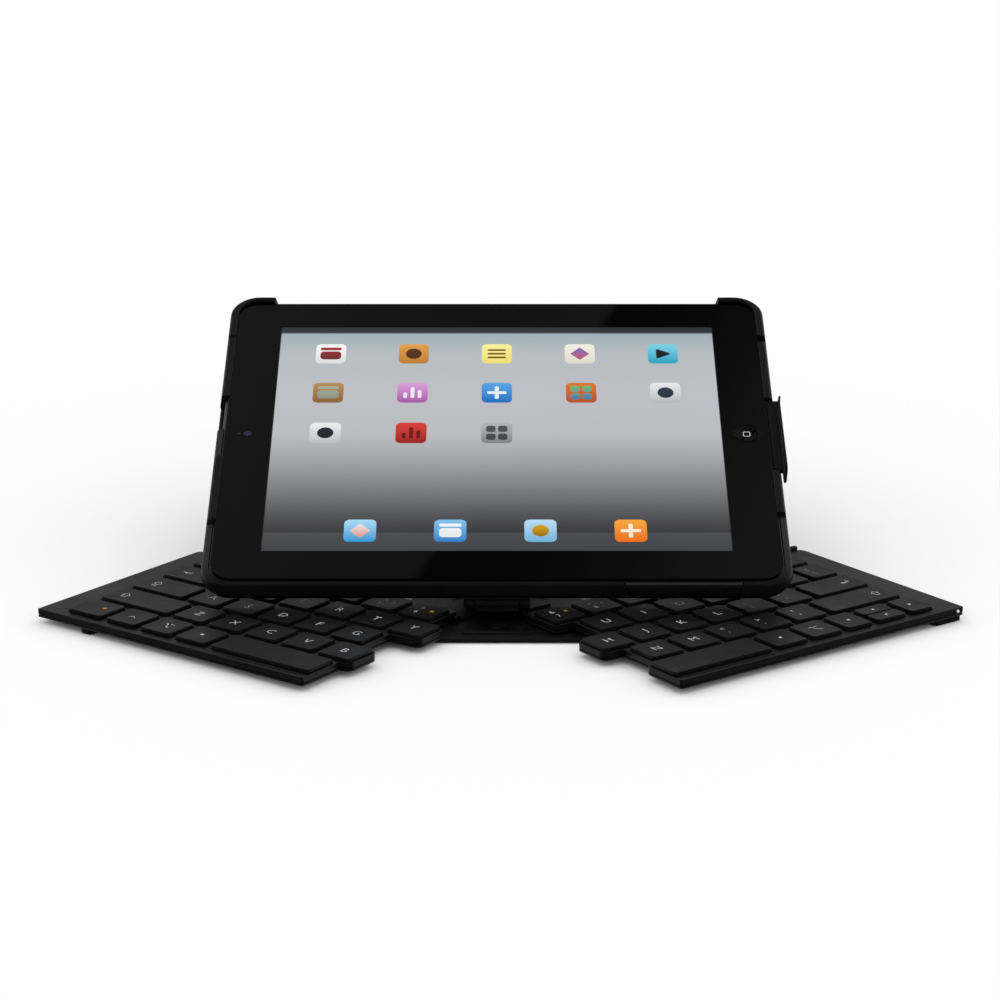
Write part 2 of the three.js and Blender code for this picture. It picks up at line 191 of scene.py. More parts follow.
def grain(finish, size_mm, detail=2.0, squeeze=(1, 1, 1), angle=0.0):
    """Noise whose blobs are size_mm wide, stretched by squeeze in a frame that is tilted about X."""
    tree = finish.node_tree
    place = node(tree, "ShaderNodeTexCoord").outputs["Object"]
    turned = node(tree, "ShaderNodeMapping", None, Vector=place, Rotation=(-angle, 0, 0), Scale=squeeze)
    scale = 1 / (size_mm * MM)
    noise = node(tree, "ShaderNodeTexNoise", None, Vector=turned.outputs[0], Scale=scale, Detail=detail)
    return noise.outputs["Fac"]


def colours_along(tree, source, stops):
    """Colours laid along a value from 0 to 1: each stop is a place and a linear colour."""
    ramp = node(tree, "ShaderNodeValToRGB", None, Fac=source)
    for at, _ in stops[1:-1]:
        ramp.color_ramp.elements.new(at)
    for stop, (at, colour) in zip(ramp.color_ramp.elements, stops):
        stop.position = at
        stop.color = colour
    return ramp.outputs[0]


NOISE_REACH = {"From_Min": 0.3, "From_Max": 0.7}


def mottle(finish, noise, dark, light):
    """Makes the colour drift between two hex colours with the noise."""
    tree = finish.node_tree
    spread = node(tree, "ShaderNodeMapRange", None, Value=noise, **NOISE_REACH)
    colours = [(0, linear(dark)), (1, linear(light))]
    feed(finish, "Base Color", colours_along(tree, spread.outputs[0], colours))


def uneven_gloss(finish, noise, low, high):
    """Makes the roughness drift between two values with the noise."""
    reach = {**NOISE_REACH, "To_Min": low, "To_Max": high}
    spread = node(finish.node_tree, "ShaderNodeMapRange", None, Value=noise, **reach)
    feed(finish, "Roughness", spread.outputs[0])


def raised(finish, height, depth_mm, strength=1.0):
    """Raises the surface by depth_mm where the height is 1."""
    depth = {"Distance": depth_mm * MM, "Strength": strength}
    bump = node(finish.node_tree, "ShaderNodeBump", None, Height=height, **depth)
    feed(finish, "Normal", bump.outputs[0])


print("black", [round(c, 4) for c in linear("#141415")[:3]])

# %% [markdown]
# ### Plastics
#
# The tray, the decks and the covers are ABS, moulded in steel tools with a fine spark-eroded texture. The
# texture scatters highlights, which gives a satin black. It is about a tenth of a millimetre across and
# is drawn at four times that so that it shows. The keycaps carry a smoother UV lacquer.

# %% Plastic finishes


def moulded_abs():
    """Satin black ABS: fine pits, slow changes in gloss from mould flow and handling."""
    finish = finish_named("abs_moulded_satin", "#080809", 0.36, IOR=1.5, Specular_IOR_Level=0.42)
    flow = grain(finish, 22, 3)
    mottle(finish, flow, "#070707", "#0a0a0b")
    uneven_gloss(finish, flow, 0.31, 0.42)
    raised(finish, grain(finish, 0.4), 0.02, 0.35)
    return finish


def lacquered_abs():
    """Key lacquer: smoother than the case, with finger polish in slow patches over an orange peel."""
    finish = finish_named("abs_keycap_lacquer", "#0b0b0c", 0.4, IOR=1.49, Specular_IOR_Level=0.45)
    polish = grain(finish, 9)
    mottle(finish, polish, "#0a0a0b", "#0e0e0f")
    uneven_gloss(finish, polish, 0.36, 0.45)
    raised(finish, grain(finish, 1.1), 0.02, 0.2)
    return finish


def silicone_sheet():
    """Black silicone of the dome sheet: dull, with a faint talc bloom."""
    finish = finish_named("silicone_dome_sheet", "#060606", 0.7, IOR=1.41, Specular_IOR_Level=0.25)
    mottle(finish, grain(finish, 3, 3), "#040404", "#0a0a0a")
    return finish


def moulded_rubber():
    """Thermoplastic rubber feet: nearly matt, with a fine skin and a little dust."""
    finish = finish_named("rubber_moulded_foot", "#0a0a0a", 0.75, IOR=1.52, Specular_IOR_Level=0.3)
    mottle(finish, grain(finish, 12, 3), "#080808", "#111111")
    raised(finish, grain(finish, 0.6, 3), 0.04, 0.5)
    return finish


ABS = moulded_abs()
LACQUER = lacquered_abs()
SILICONE = silicone_sheet()
RUBBER = moulded_rubber()
print("plastics", [m.name for m in (ABS, LACQUER, SILICONE, RUBBER)])

# %% [markdown]
# ### Metals
#
# The base plate, the arms, the hinge carrier and the leg are sheet steel with black powder coat, whose
# orange peel is about a millimetre across. The pivot screw is black zinc, brushed one way. The post and
# the pins are turned steel, left bright. Metals keep the default index of refraction.

# %% Metal finishes


def powder_coat():
    """Black powder coat on steel: an orange-peel skin with a soft sheen."""
    finish = finish_named("steel_powder_coated", "#0c0d0e", 0.52, Specular_IOR_Level=0.45)
    peel = grain(finish, 1.0)
    mottle(finish, grain(finish, 0.5), "#0a0b0c", "#101112")
    uneven_gloss(finish, peel, 0.46, 0.6)
    raised(finish, peel, 0.05, 0.4)
    return finish


def plated_steel():
    """Black-zinc plated screw: brush lines 0.3 mm apart that run front to back."""
    finish = finish_named("steel_black_zinc", "#141517", 0.36, Metallic=1.0)
    lines = grain(finish, 0.3, squeeze=(1, 0.04, 1))
    mottle(finish, grain(finish, 14, 3), "#101113", "#191a1c")
    uneven_gloss(finish, lines, 0.28, 0.44)
    raised(finish, lines, 0.01, 0.4)
    return finish


def turned_steel():
    """Turned steel: the tool's marks are far too fine to show, so they are drawn as 0.25 mm specks."""
    finish = finish_named("steel_turned", "#8e9094", 0.3, Metallic=1.0)
    marks = grain(finish, 0.25, 1)
    mottle(finish, marks, "#7e8084", "#a2a4a8")
    uneven_gloss(finish, marks, 0.24, 0.36)
    return finish


def blasted_aluminium():
    """Tablet back: bead-blasted and clear anodised, a silvery matt with a fine sparkle."""
    finish = finish_named("aluminium_bead_blasted", "#8e9093", 0.42, Metallic=1.0)
    beads = grain(finish, 0.35)
    mottle(finish, beads, "#86888b", "#9a9c9f")
    raised(finish, beads, 0.01, 0.3)
    return finish


POWDER = powder_coat()
PLATED = plated_steel()
TURNED = turned_steel()
ALUMINIUM = blasted_aluminium()
print("metals", [m.name for m in (POWDER, PLATED, TURNED, ALUMINIUM)])

# %% [markdown]
# ### Glass, board, inks and light
#
# The tablet's front is one sheet of chemically hardened glass, painted black from behind, so it is a
# polished coat over a black ground. Boards are glass-fibre laminate under a green solder mask. Legends
# are pad-printed ink, a hair thick.

# %% Glass, board, ink and light finishes
TRACK_PITCH_MM = 12


def cover_glass():
    """Polished glass on black paint: hardly any colour, mirror reflections, faint wiping marks."""
    finish = finish_named("glass_cover_black", "#030303", 0.02, IOR=1.51, Specular_IOR_Level=0.5)
    uneven_gloss(finish, grain(finish, 30, 3, (1, 0.3, 1), TILT), 0.012, 0.024)
    return finish


def solder_mask():
    """Green solder mask: the copper beneath shows as slightly lighter tracks."""
    finish = finish_named("laminate_solder_mask", "#123a26", 0.32, IOR=1.55)
    tree = finish.node_tree
    place = node(tree, "ShaderNodeTexCoord").outputs["Object"]
    colours = {"Color1": linear("#0f3522"), "Color2": linear("#12402a"), "Mortar": linear("#1f5b3c")}
    tracks = node(tree, "ShaderNodeTexBrick", {"offset": 0.5}, Vector=place, Scale=1 / (TRACK_PITCH_MM * MM),
                  Mortar_Size=0.03, **colours)
    feed(finish, "Base Color", tracks.outputs["Color"])
    raised(finish, tracks.outputs["Fac"], 0.03, 0.5)
    return finish


def pad_ink(name, colour, worn):
    """Pad-printed ink: matt, a little uneven, as a worn transfer pad leaves it."""
    finish = finish_named(name, colour, 0.55, IOR=1.48, Specular_IOR_Level=0.3)
    mottle(finish, grain(finish, 0.5), worn, colour)
    return finish


def light_pipe():
    """Clear acrylic light pipe: a milky dot in the corner of the deck."""
    finish = finish_named("acrylic_light_pipe", "#c9d0d4", 0.15, IOR=1.49)
    mottle(finish, grain(finish, 0.4), "#bcc4c9", "#dbe2e6")
    return finish


GLASS = cover_glass()
BOARD = solder_mask()
WHITE_INK = pad_ink("ink_white", "#d9dbdd", "#a8abae")
AMBER_INK = pad_ink("ink_amber", "#c89018", "#96680c")
LIGHT_PIPE = light_pipe()
print("others", [m.name for m in (GLASS, BOARD, WHITE_INK, AMBER_INK, LIGHT_PIPE)])

# %% [markdown]
# ## Making a mesh from arrays
#
# Most pieces here are a flat outline that is carried upwards through a profile: each profile step says how
# far the outline shrinks and how high it sits. The steps make rings, the rings make quads, and the ends
# are closed. Two rings close together on each flat end keep the shading of the flat face flat.

# %% Mesh helpers


def add_mesh(name, points, faces, finish, smooth=30):
    """Puts points in metres and faces into a new object, with outward faces and crisp edges."""
    data = bpy.data.meshes.new(name)
    data.from_pydata(np.asarray(points, float), [], faces)
    shape = bmesh.new()
    shape.from_mesh(data)
    bmesh.ops.remove_doubles(shape, verts=shape.verts, dist=1e-7)
    bmesh.ops.recalc_face_normals(shape, faces=shape.faces)
    shape.to_mesh(data)
    shape.free()
    data.shade_smooth()
    data.set_sharp_from_angle(angle=math.radians(smooth))
    data.materials.append(finish)
    made = bpy.data.objects.new(name, data)
    bpy.context.scene.collection.objects.link(made)
    return made


def ring_faces(rings, around, capped=True):
    """Quads between neighbouring rings of equal count, and a many-sided cap at each end."""
    ring, step = np.meshgrid(np.arange(rings - 1), np.arange(around), indexing="ij")
    here, there = ring * around, (ring + 1) * around
    after = (step + 1) % around
    quads = np.stack([here + step, here + after, there + after, there + step], -1).reshape(-1, 4).tolist()
    if capped:
        quads.append(list(range(around))[::-1])
        quads.append([(rings - 1) * around + i for i in range(around)])
    return quads


def skin(name, rings, place, finish, smooth=30, capped=True):
    """A piece from an array of rings of points, in millimetres, put in place by a local frame."""
    faces = ring_faces(*rings.shape[:2], capped)
    return add_mesh(name, place(rings.reshape(-1, 3)), faces, finish, smooth)


def shrink(outline, inset):
    """Moves a closed outline inwards: each point goes along its mitre, so sides stay parallel."""
    before = outline - np.roll(outline, 1, 0)
    after = np.roll(outline, -1, 0) - outline
    before = before / np.linalg.norm(before, axis=1)[:, None]
    after = after / np.linalg.norm(after, axis=1)[:, None]
    inward = np.stack([-before[:, 1] - after[:, 1], before[:, 0] + after[:, 0]], 1)
    mitre = 1 + (before * after).sum(1)
    return outline + inset * inward / mitre[:, None]


def carried(outline, profile):
    """Points of an outline that runs anticlockwise, carried through (inset, height) steps."""
    return np.array([np.column_stack([shrink(outline, d), np.full(len(outline), z)]) for d, z in profile])


FLAT_FROM = 1.35


def slab_profile(low, high, edge, steps=3):
    """A slab from low to high whose edges are rounded by a quarter circle of the given size."""
    turn = np.linspace(0, math.pi / 2, steps + 1)
    rise = [(edge * (1 - math.sin(a)), low + edge * (1 - math.cos(a))) for a in turn]
    fall = [(d, low + high - z) for d, z in rise[::-1]]
    inner = edge * FLAT_FROM
    return [(inner, low), *rise, *fall, (inner, high)]


def slab(name, outline, low, high, edge, place, finish, steps=3):
    """A plate with rounded edges, cut to an outline, put in place by a local frame."""
    return skin(name, carried(outline, slab_profile(low, high, edge, steps)), place, finish)


def rounded(corners, radii, steps=6):
    """An outline whose corners become arcs. Each arc is tangent to both sides of its corner."""
    corners = np.asarray(corners, float)
    radii = np.broadcast_to(radii, len(corners))
    points = []
    for corner, before, after, radius in zip(corners, np.roll(corners, 1, 0), np.roll(corners, -1, 0), radii):
        a = (before - corner) / np.linalg.norm(before - corner)
        b = (after - corner) / np.linalg.norm(after - corner)
        half = math.acos(np.clip(a @ b, -1, 1)) / 2
        if radius <= 0 or half > 1.55:
            points.append(corner)
            continue
        centre = corner + (a + b) / np.linalg.norm(a + b) * radius / math.sin(half)
        start = corner + a * radius / math.tan(half) - centre
        end = corner + b * radius / math.tan(half) - centre
        sweep = math.atan2(start[0] * end[1] - start[1] * end[0], start @ end)
        turn = np.linspace(0, sweep, steps + 1)
        arc = np.outer(np.cos(turn), start) + np.outer(np.sin(turn), [-start[1], start[0]])
        points.extend(centre + arc)
    return np.array(points)


def oblong(width, height, radius, x=0.0, y=0.0, steps=6):
    """A rectangle with rounded corners, round a middle point, anticlockwise."""
    w, h = width / 2, height / 2
    corners = [[x - w, y - h], [x + w, y - h], [x + w, y + h], [x - w, y + h]]
    return rounded(corners, radius, steps)


def circle(radius, x=0.0, y=0.0, count=48):
    """Points round a circle, anticlockwise."""
    turn = np.linspace(0, 2 * math.pi, count, endpoint=False)
    return np.column_stack([x + radius * np.cos(turn), y + radius * np.sin(turn)])


def ride_for(piece, slot, *nodes, body=None):
    """Puts a piece on the body of the node that it replaces, or on a named body."""
    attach(piece, body or node_body[nodes[0]])
    if nodes:
        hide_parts(*nodes)
    return piece


print("slab steps", len(slab_profile(0, 1, 0.2)))

# %% [markdown]
# ### Plates with holes
#
# A deck is a plate with a hole for each key. A flat curve fills between its outer loop and its holes and
# gives every edge the same small round, so it is the short way to such a plate. The curve is made a mesh
# before it is put in place, because the mesh has to carry its own place.

# %% Plate with holes
PLATE_EDGE_STEPS = 2


def mesh_of(curve):
    """Points and faces of a filled curve or a text, whose own object is then removed."""
    draft = bpy.data.objects.new(curve.name, curve)
    bpy.context.scene.collection.objects.link(draft)
    data = bpy.data.meshes.new_from_object(draft.evaluated_get(bpy.context.evaluated_depsgraph_get()))
    bpy.data.objects.remove(draft)
    points = np.zeros(len(data.vertices) * 3)
    data.vertices.foreach_get("co", points)
    faces = [list(face.vertices) for face in data.polygons]
    bpy.data.meshes.remove(data)
    return points.reshape(-1, 3), faces


def pierced_plate(name, loops, low, high, edge, place, finish, smooth=35):
    """A plate between two heights with rounded edges: the first loop is its outside, the rest are holes."""
    curve = bpy.data.curves.new(name, "CURVE")
    curve.dimensions = "2D"
    curve.fill_mode = "BOTH"
    curve.bevel_depth = edge
    curve.bevel_resolution = PLATE_EDGE_STEPS
    curve.offset = -edge
    curve.extrude = (high - low) / 2 - edge
    for loop in loops:
        spline = curve.splines.new("POLY")
        spline.points.add(len(loop) - 1)
        flat = np.column_stack([loop, np.zeros(len(loop)), np.ones(len(loop))])
        spline.points.foreach_set("co", flat.ravel())
        spline.use_cyclic_u = True
    points, faces = mesh_of(curve)
    made = add_mesh(name, place(points + [0, 0, (low + high) / 2]), faces, finish, smooth)
    made.modifiers.new("flat_faces", "WEIGHTED_NORMAL").keep_sharp = True
    return made


print("plate edge steps", PLATE_EDGE_STEPS)

# %% [markdown]
# ### Parts that keep their working shape
#
# Pressed and turned parts already have their true shape in the frame. What they lack is the small broken
# edge that every real part has, so a copy is merged, its flat faces are joined, and its edges bevelled.

# %% Copies with broken edges
SHARP_ANGLE = 32


def edged(node_name, finish, slot, width):
    """A copy of a frame part with its edges rounded by width, in millimetres."""
    source = frame["nodes"][node_name]
    made = source.copy()
    made.data = source.data.copy()
    made.name = node_name + "_finished"
    made.parent = None
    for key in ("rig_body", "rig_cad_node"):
        if key in made:
            del made[key]
    bpy.context.scene.collection.objects.link(made)
    shape = bmesh.new()
    shape.from_mesh(made.data)
    bmesh.ops.remove_doubles(shape, verts=shape.verts, dist=2e-6)
    bmesh.ops.dissolve_limit(shape, angle_limit=math.radians(1), verts=shape.verts, edges=shape.edges)
    shape.to_mesh(made.data)
    shape.free()
    made.data.materials.clear()
    made.data.materials.append(finish)
    made.data.shade_smooth()
    bevel = made.modifiers.new("broken_edges", "BEVEL")
    bevel.width = width * MM
    bevel.segments = 2
    bevel.limit_method = "ANGLE"
    bevel.angle_limit = math.radians(SHARP_ANGLE)
    bevel.harden_normals = True
    return ride_for(made, slot, node_name)


print("edges sharper than", SHARP_ANGLE, "degrees are broken")

# %% [markdown]
# ## The base
#
# The base is a pressed steel plate with the shape of a T. A plastic spine on it is the track that the
# prop leg runs on, and a small tongue shows between the halves at the front. A steel carrier on the pivot
# post holds the tray's hinge.

# %% Base pieces
base_pieces = [
    edged("base_plate", POWDER, "dark_steel", 0.3),
    edged("base_spine", ABS, "black_plastic", 0.35),
    edged("base_tongue", LACQUER, "black_plastic", 0.12),
    edged("hinge_carrier", POWDER, "dark_steel", 0.3),
    edged("tray_hinge_leaf", POWDER, "dark_steel", 0.25),
    edged("prop_leg", POWDER, "dark_steel", 0.25),
    edged("pivot_post", TURNED, "bright_steel", 0.2),
    edged("pivot_screw", PLATED, "dark_steel", 0.15),
    edged("tilt_pin", TURNED, "bright_steel", 0.15),
    edged("leg_pin", TURNED, "bright_steel", 0.1),
    edged("left_pivot_arm", POWDER, "bright_steel", 0.2),
    edged("right_pivot_arm", POWDER, "bright_steel", 0.2),
    edged("base_foot_front", RUBBER, "rubber", 0.12),
    edged("base_foot_rear", RUBBER, "rubber", 0.12),
    edged("left_circuit_board", BOARD, "circuit_board", 0.05),
    edged("right_circuit_board", BOARD, "circuit_board", 0.05),
]
RIVET_Y = -25.4
RIVET_PROFILE = [(0, 1.9), (0, 1.98), (0.12, 2.1), (0.4, 2.19), (0.9, 2.24), (1.4, 2.25)]
dome = carried(circle(1.6, 0, RIVET_Y), RIVET_PROFILE)
rivet = skin("tongue_rivet_dome", dome, on_base, TURNED, 60)
base_pieces.append(ride_for(rivet, "bright_steel", "tongue_rivet"))
print("base pieces", len(base_pieces))

# %% [markdown]
# ## The keyboard halves
#
# The two halves meet on a line that steps from row to row, because each row of keys is shifted against
# the next. The outline follows those steps. Its corners are rounded where fingers meet them. The deck
# carries a hole for each key, the bottom cover closes it from below, and a dark sheet of silicone
# domes lies under the keys.

# %% Key layout in millimetres, with y from the pivot
PITCH = 19.0
KEY_GAP = 3.2
KEY = PITCH - KEY_GAP
FIRST_ROW_Y = -110.35
KEYS_OUT_X = 135.6
HALF_OUT_X = 148.3
FRONT_Y = -123.1
BACK_Y = -23.1
SPLIT_X = (-4.75, 0, -9.5, 4.75, -4.75)
SPLIT_GAP = 0.4
OUTER_ROUNDS = (3.0, 0.6)
STEP_ROUND = 3.2
CREASE = 0.8
INNER_BACK_ROUND = 2.0
STACKED = (1, 0, 1)
STACK_GAP = 0.8
WIDE_KEYS = {
    -1: [[18.4, 15.8, 15.8, 15.8], [37.8], [28.4], [23.4], [13.4]],
    1: [[12.1, 15.8, 13.4, 15.8, 15.8], [38.4], [28.9], [13.8], [23.4]],
}
KEY_TOP_Z = 7.6
DECK_Z = (3.8, 6.2)
COVER_Z = (2.6, 3.5)


def half_corners(side):
    """The outline's corners: out along the front, then up the steps between the rows, then back."""
    corners = [[side * HALF_OUT_X, BACK_Y], [side * HALF_OUT_X, FRONT_Y]]
    sizes = list(OUTER_ROUNDS)
    for row, x in enumerate(SPLIT_X):
        shift = SPLIT_X[row + 1] - x if row < 4 else 0
        start = FRONT_Y if row == 0 else corners[-1][1]
        gap = side * np.sign(shift) * SPLIT_GAP
        end = FIRST_ROW_Y + PITCH * (row + 0.5) - gap if row < 4 else BACK_Y
        corners += [[x + side * SPLIT_GAP, start], [x + side * SPLIT_GAP, end]]
        stepped_in = row > 0 and side * (x - SPLIT_X[row - 1]) > 0
        sizes.append(CREASE if row == 0 or stepped_in else STEP_ROUND)
        sizes.append(CREASE if side * shift < 0 else STEP_ROUND)
    sizes[-1] = INNER_BACK_ROUND
    if side > 0:
        return corners[::-1], sizes[::-1]
    return corners, sizes


def row_keys(side, row):
    """Spans of a row's keys from the outer edge inwards. Keys that aren't wide share what is left."""
    spans, x = [], KEYS_OUT_X
    for width in WIDE_KEYS[side][row]:
        spans.append((x - width, x))
        x -= width + KEY_GAP
    inner = side * SPLIT_X[row] + KEY_GAP / 2
    if row == 0:
        return spans + [(inner, x)]
    count = round((x - inner + KEY_GAP) / PITCH)
    step = (x - inner + KEY_GAP) / count
    return spans + [(x - step * (i + 1) + KEY_GAP, x - step * i) for i in range(count)]


def key_boxes(side, row):
    """(middle x, middle y, width, depth) of each key. The stacked key is two shallow keys."""
    boxes = []
    for index, (near, far) in enumerate(row_keys(side, row)):
        x, y, width = side * (near + far) / 2, FIRST_ROW_Y + PITCH * row, far - near
        if (side, row, index) == STACKED:
            depth = (KEY - STACK_GAP) / 2
            shift = (depth + STACK_GAP) / 2
            boxes += [(x, y - shift, width, depth), (x, y + shift, width, depth)]
        else:
            boxes.append((x, y, width, KEY))
    return boxes


print("keys", sum(len(key_boxes(side, row)) for side in (-1, 1) for row in range(5)))

# %% Decks, covers and dome sheets
KEY_CLEARANCE = 0.35
HOLE_RADIUS = 1.9
ARM_SLOT_X = (5.0, 16.4)
ARM_SLOT_Y = -40.4
NOTCH_ROUNDS = (0.5, 0.7, 0.7, 0.5)
GROOVES = {-1: (-45.7, -7.5, -121.0), 1: (-2.0, 45.6, -121.0)}
GROOVE_WIDTH = 0.5
SHEET_INSET = 0.5
SHEET_Z = (4.62, 5.0)


def cover_corners(side):
    """The deck's corners, with a notch in the back edge where the pivot arm comes in."""
    corners, sizes = half_corners(side)
    near, far = [side * x - MEET_X for x in ARM_SLOT_X]
    notch = [[near, BACK_Y], [near, ARM_SLOT_Y], [far, ARM_SLOT_Y], [far, BACK_Y]]
    if side > 0:
        return notch[::-1] + corners, [*NOTCH_ROUNDS, NOTCH_ROUNDS[0], *sizes[1:]]
    return corners + notch, [*sizes[:-1], NOTCH_ROUNDS[0], *NOTCH_ROUNDS]


def build_half_shell(side, word):
    """One half's deck, bottom cover and dome sheet, cut to the stepped outline."""
    place = on_half(side)
    outline = rounded(*half_corners(side))
    holes = []
    for row in range(5):
        keys = key_boxes(side, row)
        if (side, row) == STACKED[:2]:
            x, low, width, _ = keys[STACKED[2]]
            keys[STACKED[2]:STACKED[2] + 2] = [(x, FIRST_ROW_Y, width, KEY)]
        wider = 2 * KEY_CLEARANCE
        holes += [oblong(w + wider, d + wider, HOLE_RADIUS, x, y, 4) for x, y, w, d in keys]
    low, high, groove_y = GROOVES[side]
    holes.append(oblong(high - low, GROOVE_WIDTH, 0.2, (low + high) / 2, groove_y, 2))
    deck = pierced_plate(word + "_deck_shell", [outline, *holes], *DECK_Z, 0.3, place, ABS)
    ride_for(deck, "black_plastic", word + "_deck")
    cover = slab(word + "_cover_shell", rounded(*cover_corners(side), 4), *COVER_Z, 0.25, place, ABS)
    ride_for(cover, "black_plastic", word + "_bottom_cover")
    sheet = slab(word + "_dome_sheet", shrink(outline, SHEET_INSET), *SHEET_Z, 0.1, place, SILICONE)
    ride_for(sheet, "rubber", body=word + "_half")
    return [deck, cover, sheet]


shells = build_half_shell(-1, "left") + build_half_shell(1, "right")
print("shells", [piece.name for piece in shells])

# %% [markdown]
# ### Keycaps
#
# A keycap is a low moulded cap: a rounded rectangle whose sides lean in a little, a soft top edge, and a
# top that dips a tenth of a millimetre so that a finger finds its middle. The caps of one row ride together
# on that row's body, and each wide key has a body of its own.

# %% Keycaps
CAP_LOW_Z = 6.15
CAP_DISH = 0.12
CAP_EDGE = 0.2
CAP_LEAN = 0.14
CAP_RADIUS = 1.5


def keycap(name, box, place, body):
    """The outline rises straight, leans in, rounds over, and then shrinks to the middle as s goes 1 to 0,
    where the height is the top less the dish times one minus s squared."""
    x, y, width, depth = box
    outline = oblong(width, depth, CAP_RADIUS, x, y, 5)
    turn = np.linspace(0, math.pi / 2, 5)
    inwards, down = CAP_EDGE * (1 - np.cos(turn)), CAP_EDGE * (1 - np.sin(turn))
    foot = [(0.3, CAP_LOW_Z), (0, CAP_LOW_Z), (0, CAP_LOW_Z + 0.15)]
    sides = carried(outline, [*foot, *zip(CAP_LEAN + inwards, KEY_TOP_Z - down)])
    middle = np.array([x, y])
    edge = sides[-1, :, :2] - middle
    scale = np.array([0.96, 0.8, 0.6, 0.4, 0.2])[:, None, None]
    flat = middle + edge[None] * scale
    height = KEY_TOP_Z - CAP_DISH * (1 - scale ** 2) * np.ones((1, len(edge), 1))
    rings = np.concatenate([sides, np.concatenate([flat, height], 2)])
    cap = skin(name, rings, place, LACQUER, 50)
    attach(cap, body)
    return cap


SINGLE_KEYS = {
    (-1, 0, 4): "left_space_key", (-1, 1, 0): "left_shift_key", (-1, 2, 0): "left_caps_key",
    (-1, 3, 0): "left_tab_key", (1, 0, 0): "right_right_arrow_key", (1, 0, 1): "down_arrow_key",
    (1, 0, 2): "up_arrow_key", (1, 0, 3): "right_left_arrow_key", (1, 0, 6): "right_space_key",
    (1, 1, 0): "right_shift_key", (1, 2, 0): "right_return_key", (1, 4, 0): "right_backspace_key",
}


def key_body(side, row, index):
    """The body of a key: its own for a wide or special key, and its row's for the others."""
    return SINGLE_KEYS.get((side, row, index), f"{'left' if side < 0 else 'right'}_key_row_{row + 1}")


caps = []
for side in (-1, 1):
    for row in range(5):
        for index, box in enumerate(key_boxes(side, row)):
            body = key_body(side, row, index)
            cap = keycap(f"{body}_cap_{index + 1}", box, on_half(side), body)
            caps.append(cap)
            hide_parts(body)
print("caps", len(caps))

# %% [markdown]
# ### Legends
#
# Legends are single letters, digits and plain marks, pad-printed in white. A few keys carry a second mark
# in amber. Each one is a text turned into a mesh, thinned to the weight of a fine printed stroke, and set
# on the dished top of its cap by the same formula as the cap itself.

# %% Legends
LEGENDS = {
    (-1, 0): [None, "⌃", "⌥", "◆", None],
    (-1, 1): ["⇧", "Z", "X", "C", "V", "B"],
    (-1, 2): ["⇪", "A", "S", "D", "F", "G"],
    (-1, 3): ["⇥", "Q", "W", "E", "R", "T", "Y"],
    (-1, 4): ["~`", "!1", "@2", "#3", "$4", "%5", "^6"],
    (1, 0): ["▶", "▼", "▲", "◀", "⌥", "◆", None],
    (1, 1): ["⇧", "?/", ">.", "<,", "M", "N"],
    (1, 2): ["↵", "\"'", ":;", "L", "K", "J", "H"],
    (1, 3): ["|\\", "}]", "{[", "P", "O", "I", "U"],
    (1, 4): ["⌫", "+=", "_-", ")0", "(9", "*8", "&7"],
}
SMALL_MARKS = "▶▼▲◀◆"
AMBER_KEYS = {(-1, 0, 0): "●", (-1, 4, 5): "▶", (-1, 4, 6): "■", (1, 4, 6): "◀", (1, 4, 5): "▲"}
LETTER_SIZE = 5.8
PAIR_SIZE = 4.0
MARK_SIZE = 2.0
AMBER_SIZE = 2.7
PAIR_X, PAIR_Y = -2.2, (2.6, -2.4)
AMBER_AT = (3.4, 1.0)
WIDE_FROM = 17
FROM_WIDE_END = 7.5
INK = 0.02
THINNER = -0.016


def glyph(text, size, x, y):
    """Points and faces of a printed mark, centred on a point, as a flat mesh with a thin edge."""
    curve = bpy.data.curves.new("glyph", "FONT")
    curve.body = text
    curve.size = size
    curve.extrude = INK
    curve.resolution_u = 2
    curve.offset = THINNER * size
    points, faces = mesh_of(curve)
    low, high = points.min(0), points.max(0)
    points[:, :2] += [x, y] - (low[:2] + high[:2]) / 2
    return points, faces


def key_marks(side, row, index, box):
    """The marks of one key as (text, size, x, y, amber)."""
    x, y, width, _ = box
    text = LEGENDS[side, row][index]
    marks = []
    wide_end = x + side * max(0, width / 2 - FROM_WIDE_END)
    if text and len(text) == 2:
        marks += [(sign, PAIR_SIZE, x + PAIR_X, y + up, False) for sign, up in zip(text, PAIR_Y)]
    elif text and text in SMALL_MARKS:
        marks.append((text, MARK_SIZE, x, y, False))
    elif text:
        marks.append((text, LETTER_SIZE, wide_end if width > WIDE_FROM else x, y, False))
    if (side, row, index) in AMBER_KEYS:
        marks.append((AMBER_KEYS[side, row, index], AMBER_SIZE, x + AMBER_AT[0], y + AMBER_AT[1], True))
    return marks


def print_legends(side):
    """Prints one half's legends: a mesh for each body and ink, lowered onto the dish."""
    prints = {}
    for row in range(5):
        for index, box in enumerate(key_boxes(side, row)):
            x, y, width, depth = box
            for text, size, at_x, at_y, amber in key_marks(side, row, index, box):
                points, faces = glyph(text, size, at_x, at_y)
                reach = np.maximum(abs(points[:, 0] - x) / (width / 2), abs(points[:, 1] - y) / (depth / 2))
                points[:, 2] += KEY_TOP_Z - CAP_DISH * (1 - reach ** 2) + INK
                key = (key_body(side, row, index), amber)
                known = prints.setdefault(key, ([], [], [0]))
                known[0].append(points)
                known[1].extend([[corner + known[2][0] for corner in face] for face in faces])
                known[2][0] += len(points)
    made = []
    for (body, amber), (points, faces, _) in prints.items():
        ink, word = (AMBER_INK, "amber") if amber else (WHITE_INK, "white")
        one = add_mesh(f"{body}_{word}_legends", on_half(side)(np.concatenate(points)), faces, ink)
        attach(one, body)
        made.append(one)
    return made


legends = print_legends(-1) + print_legends(1)
print("legend prints", len(legends))

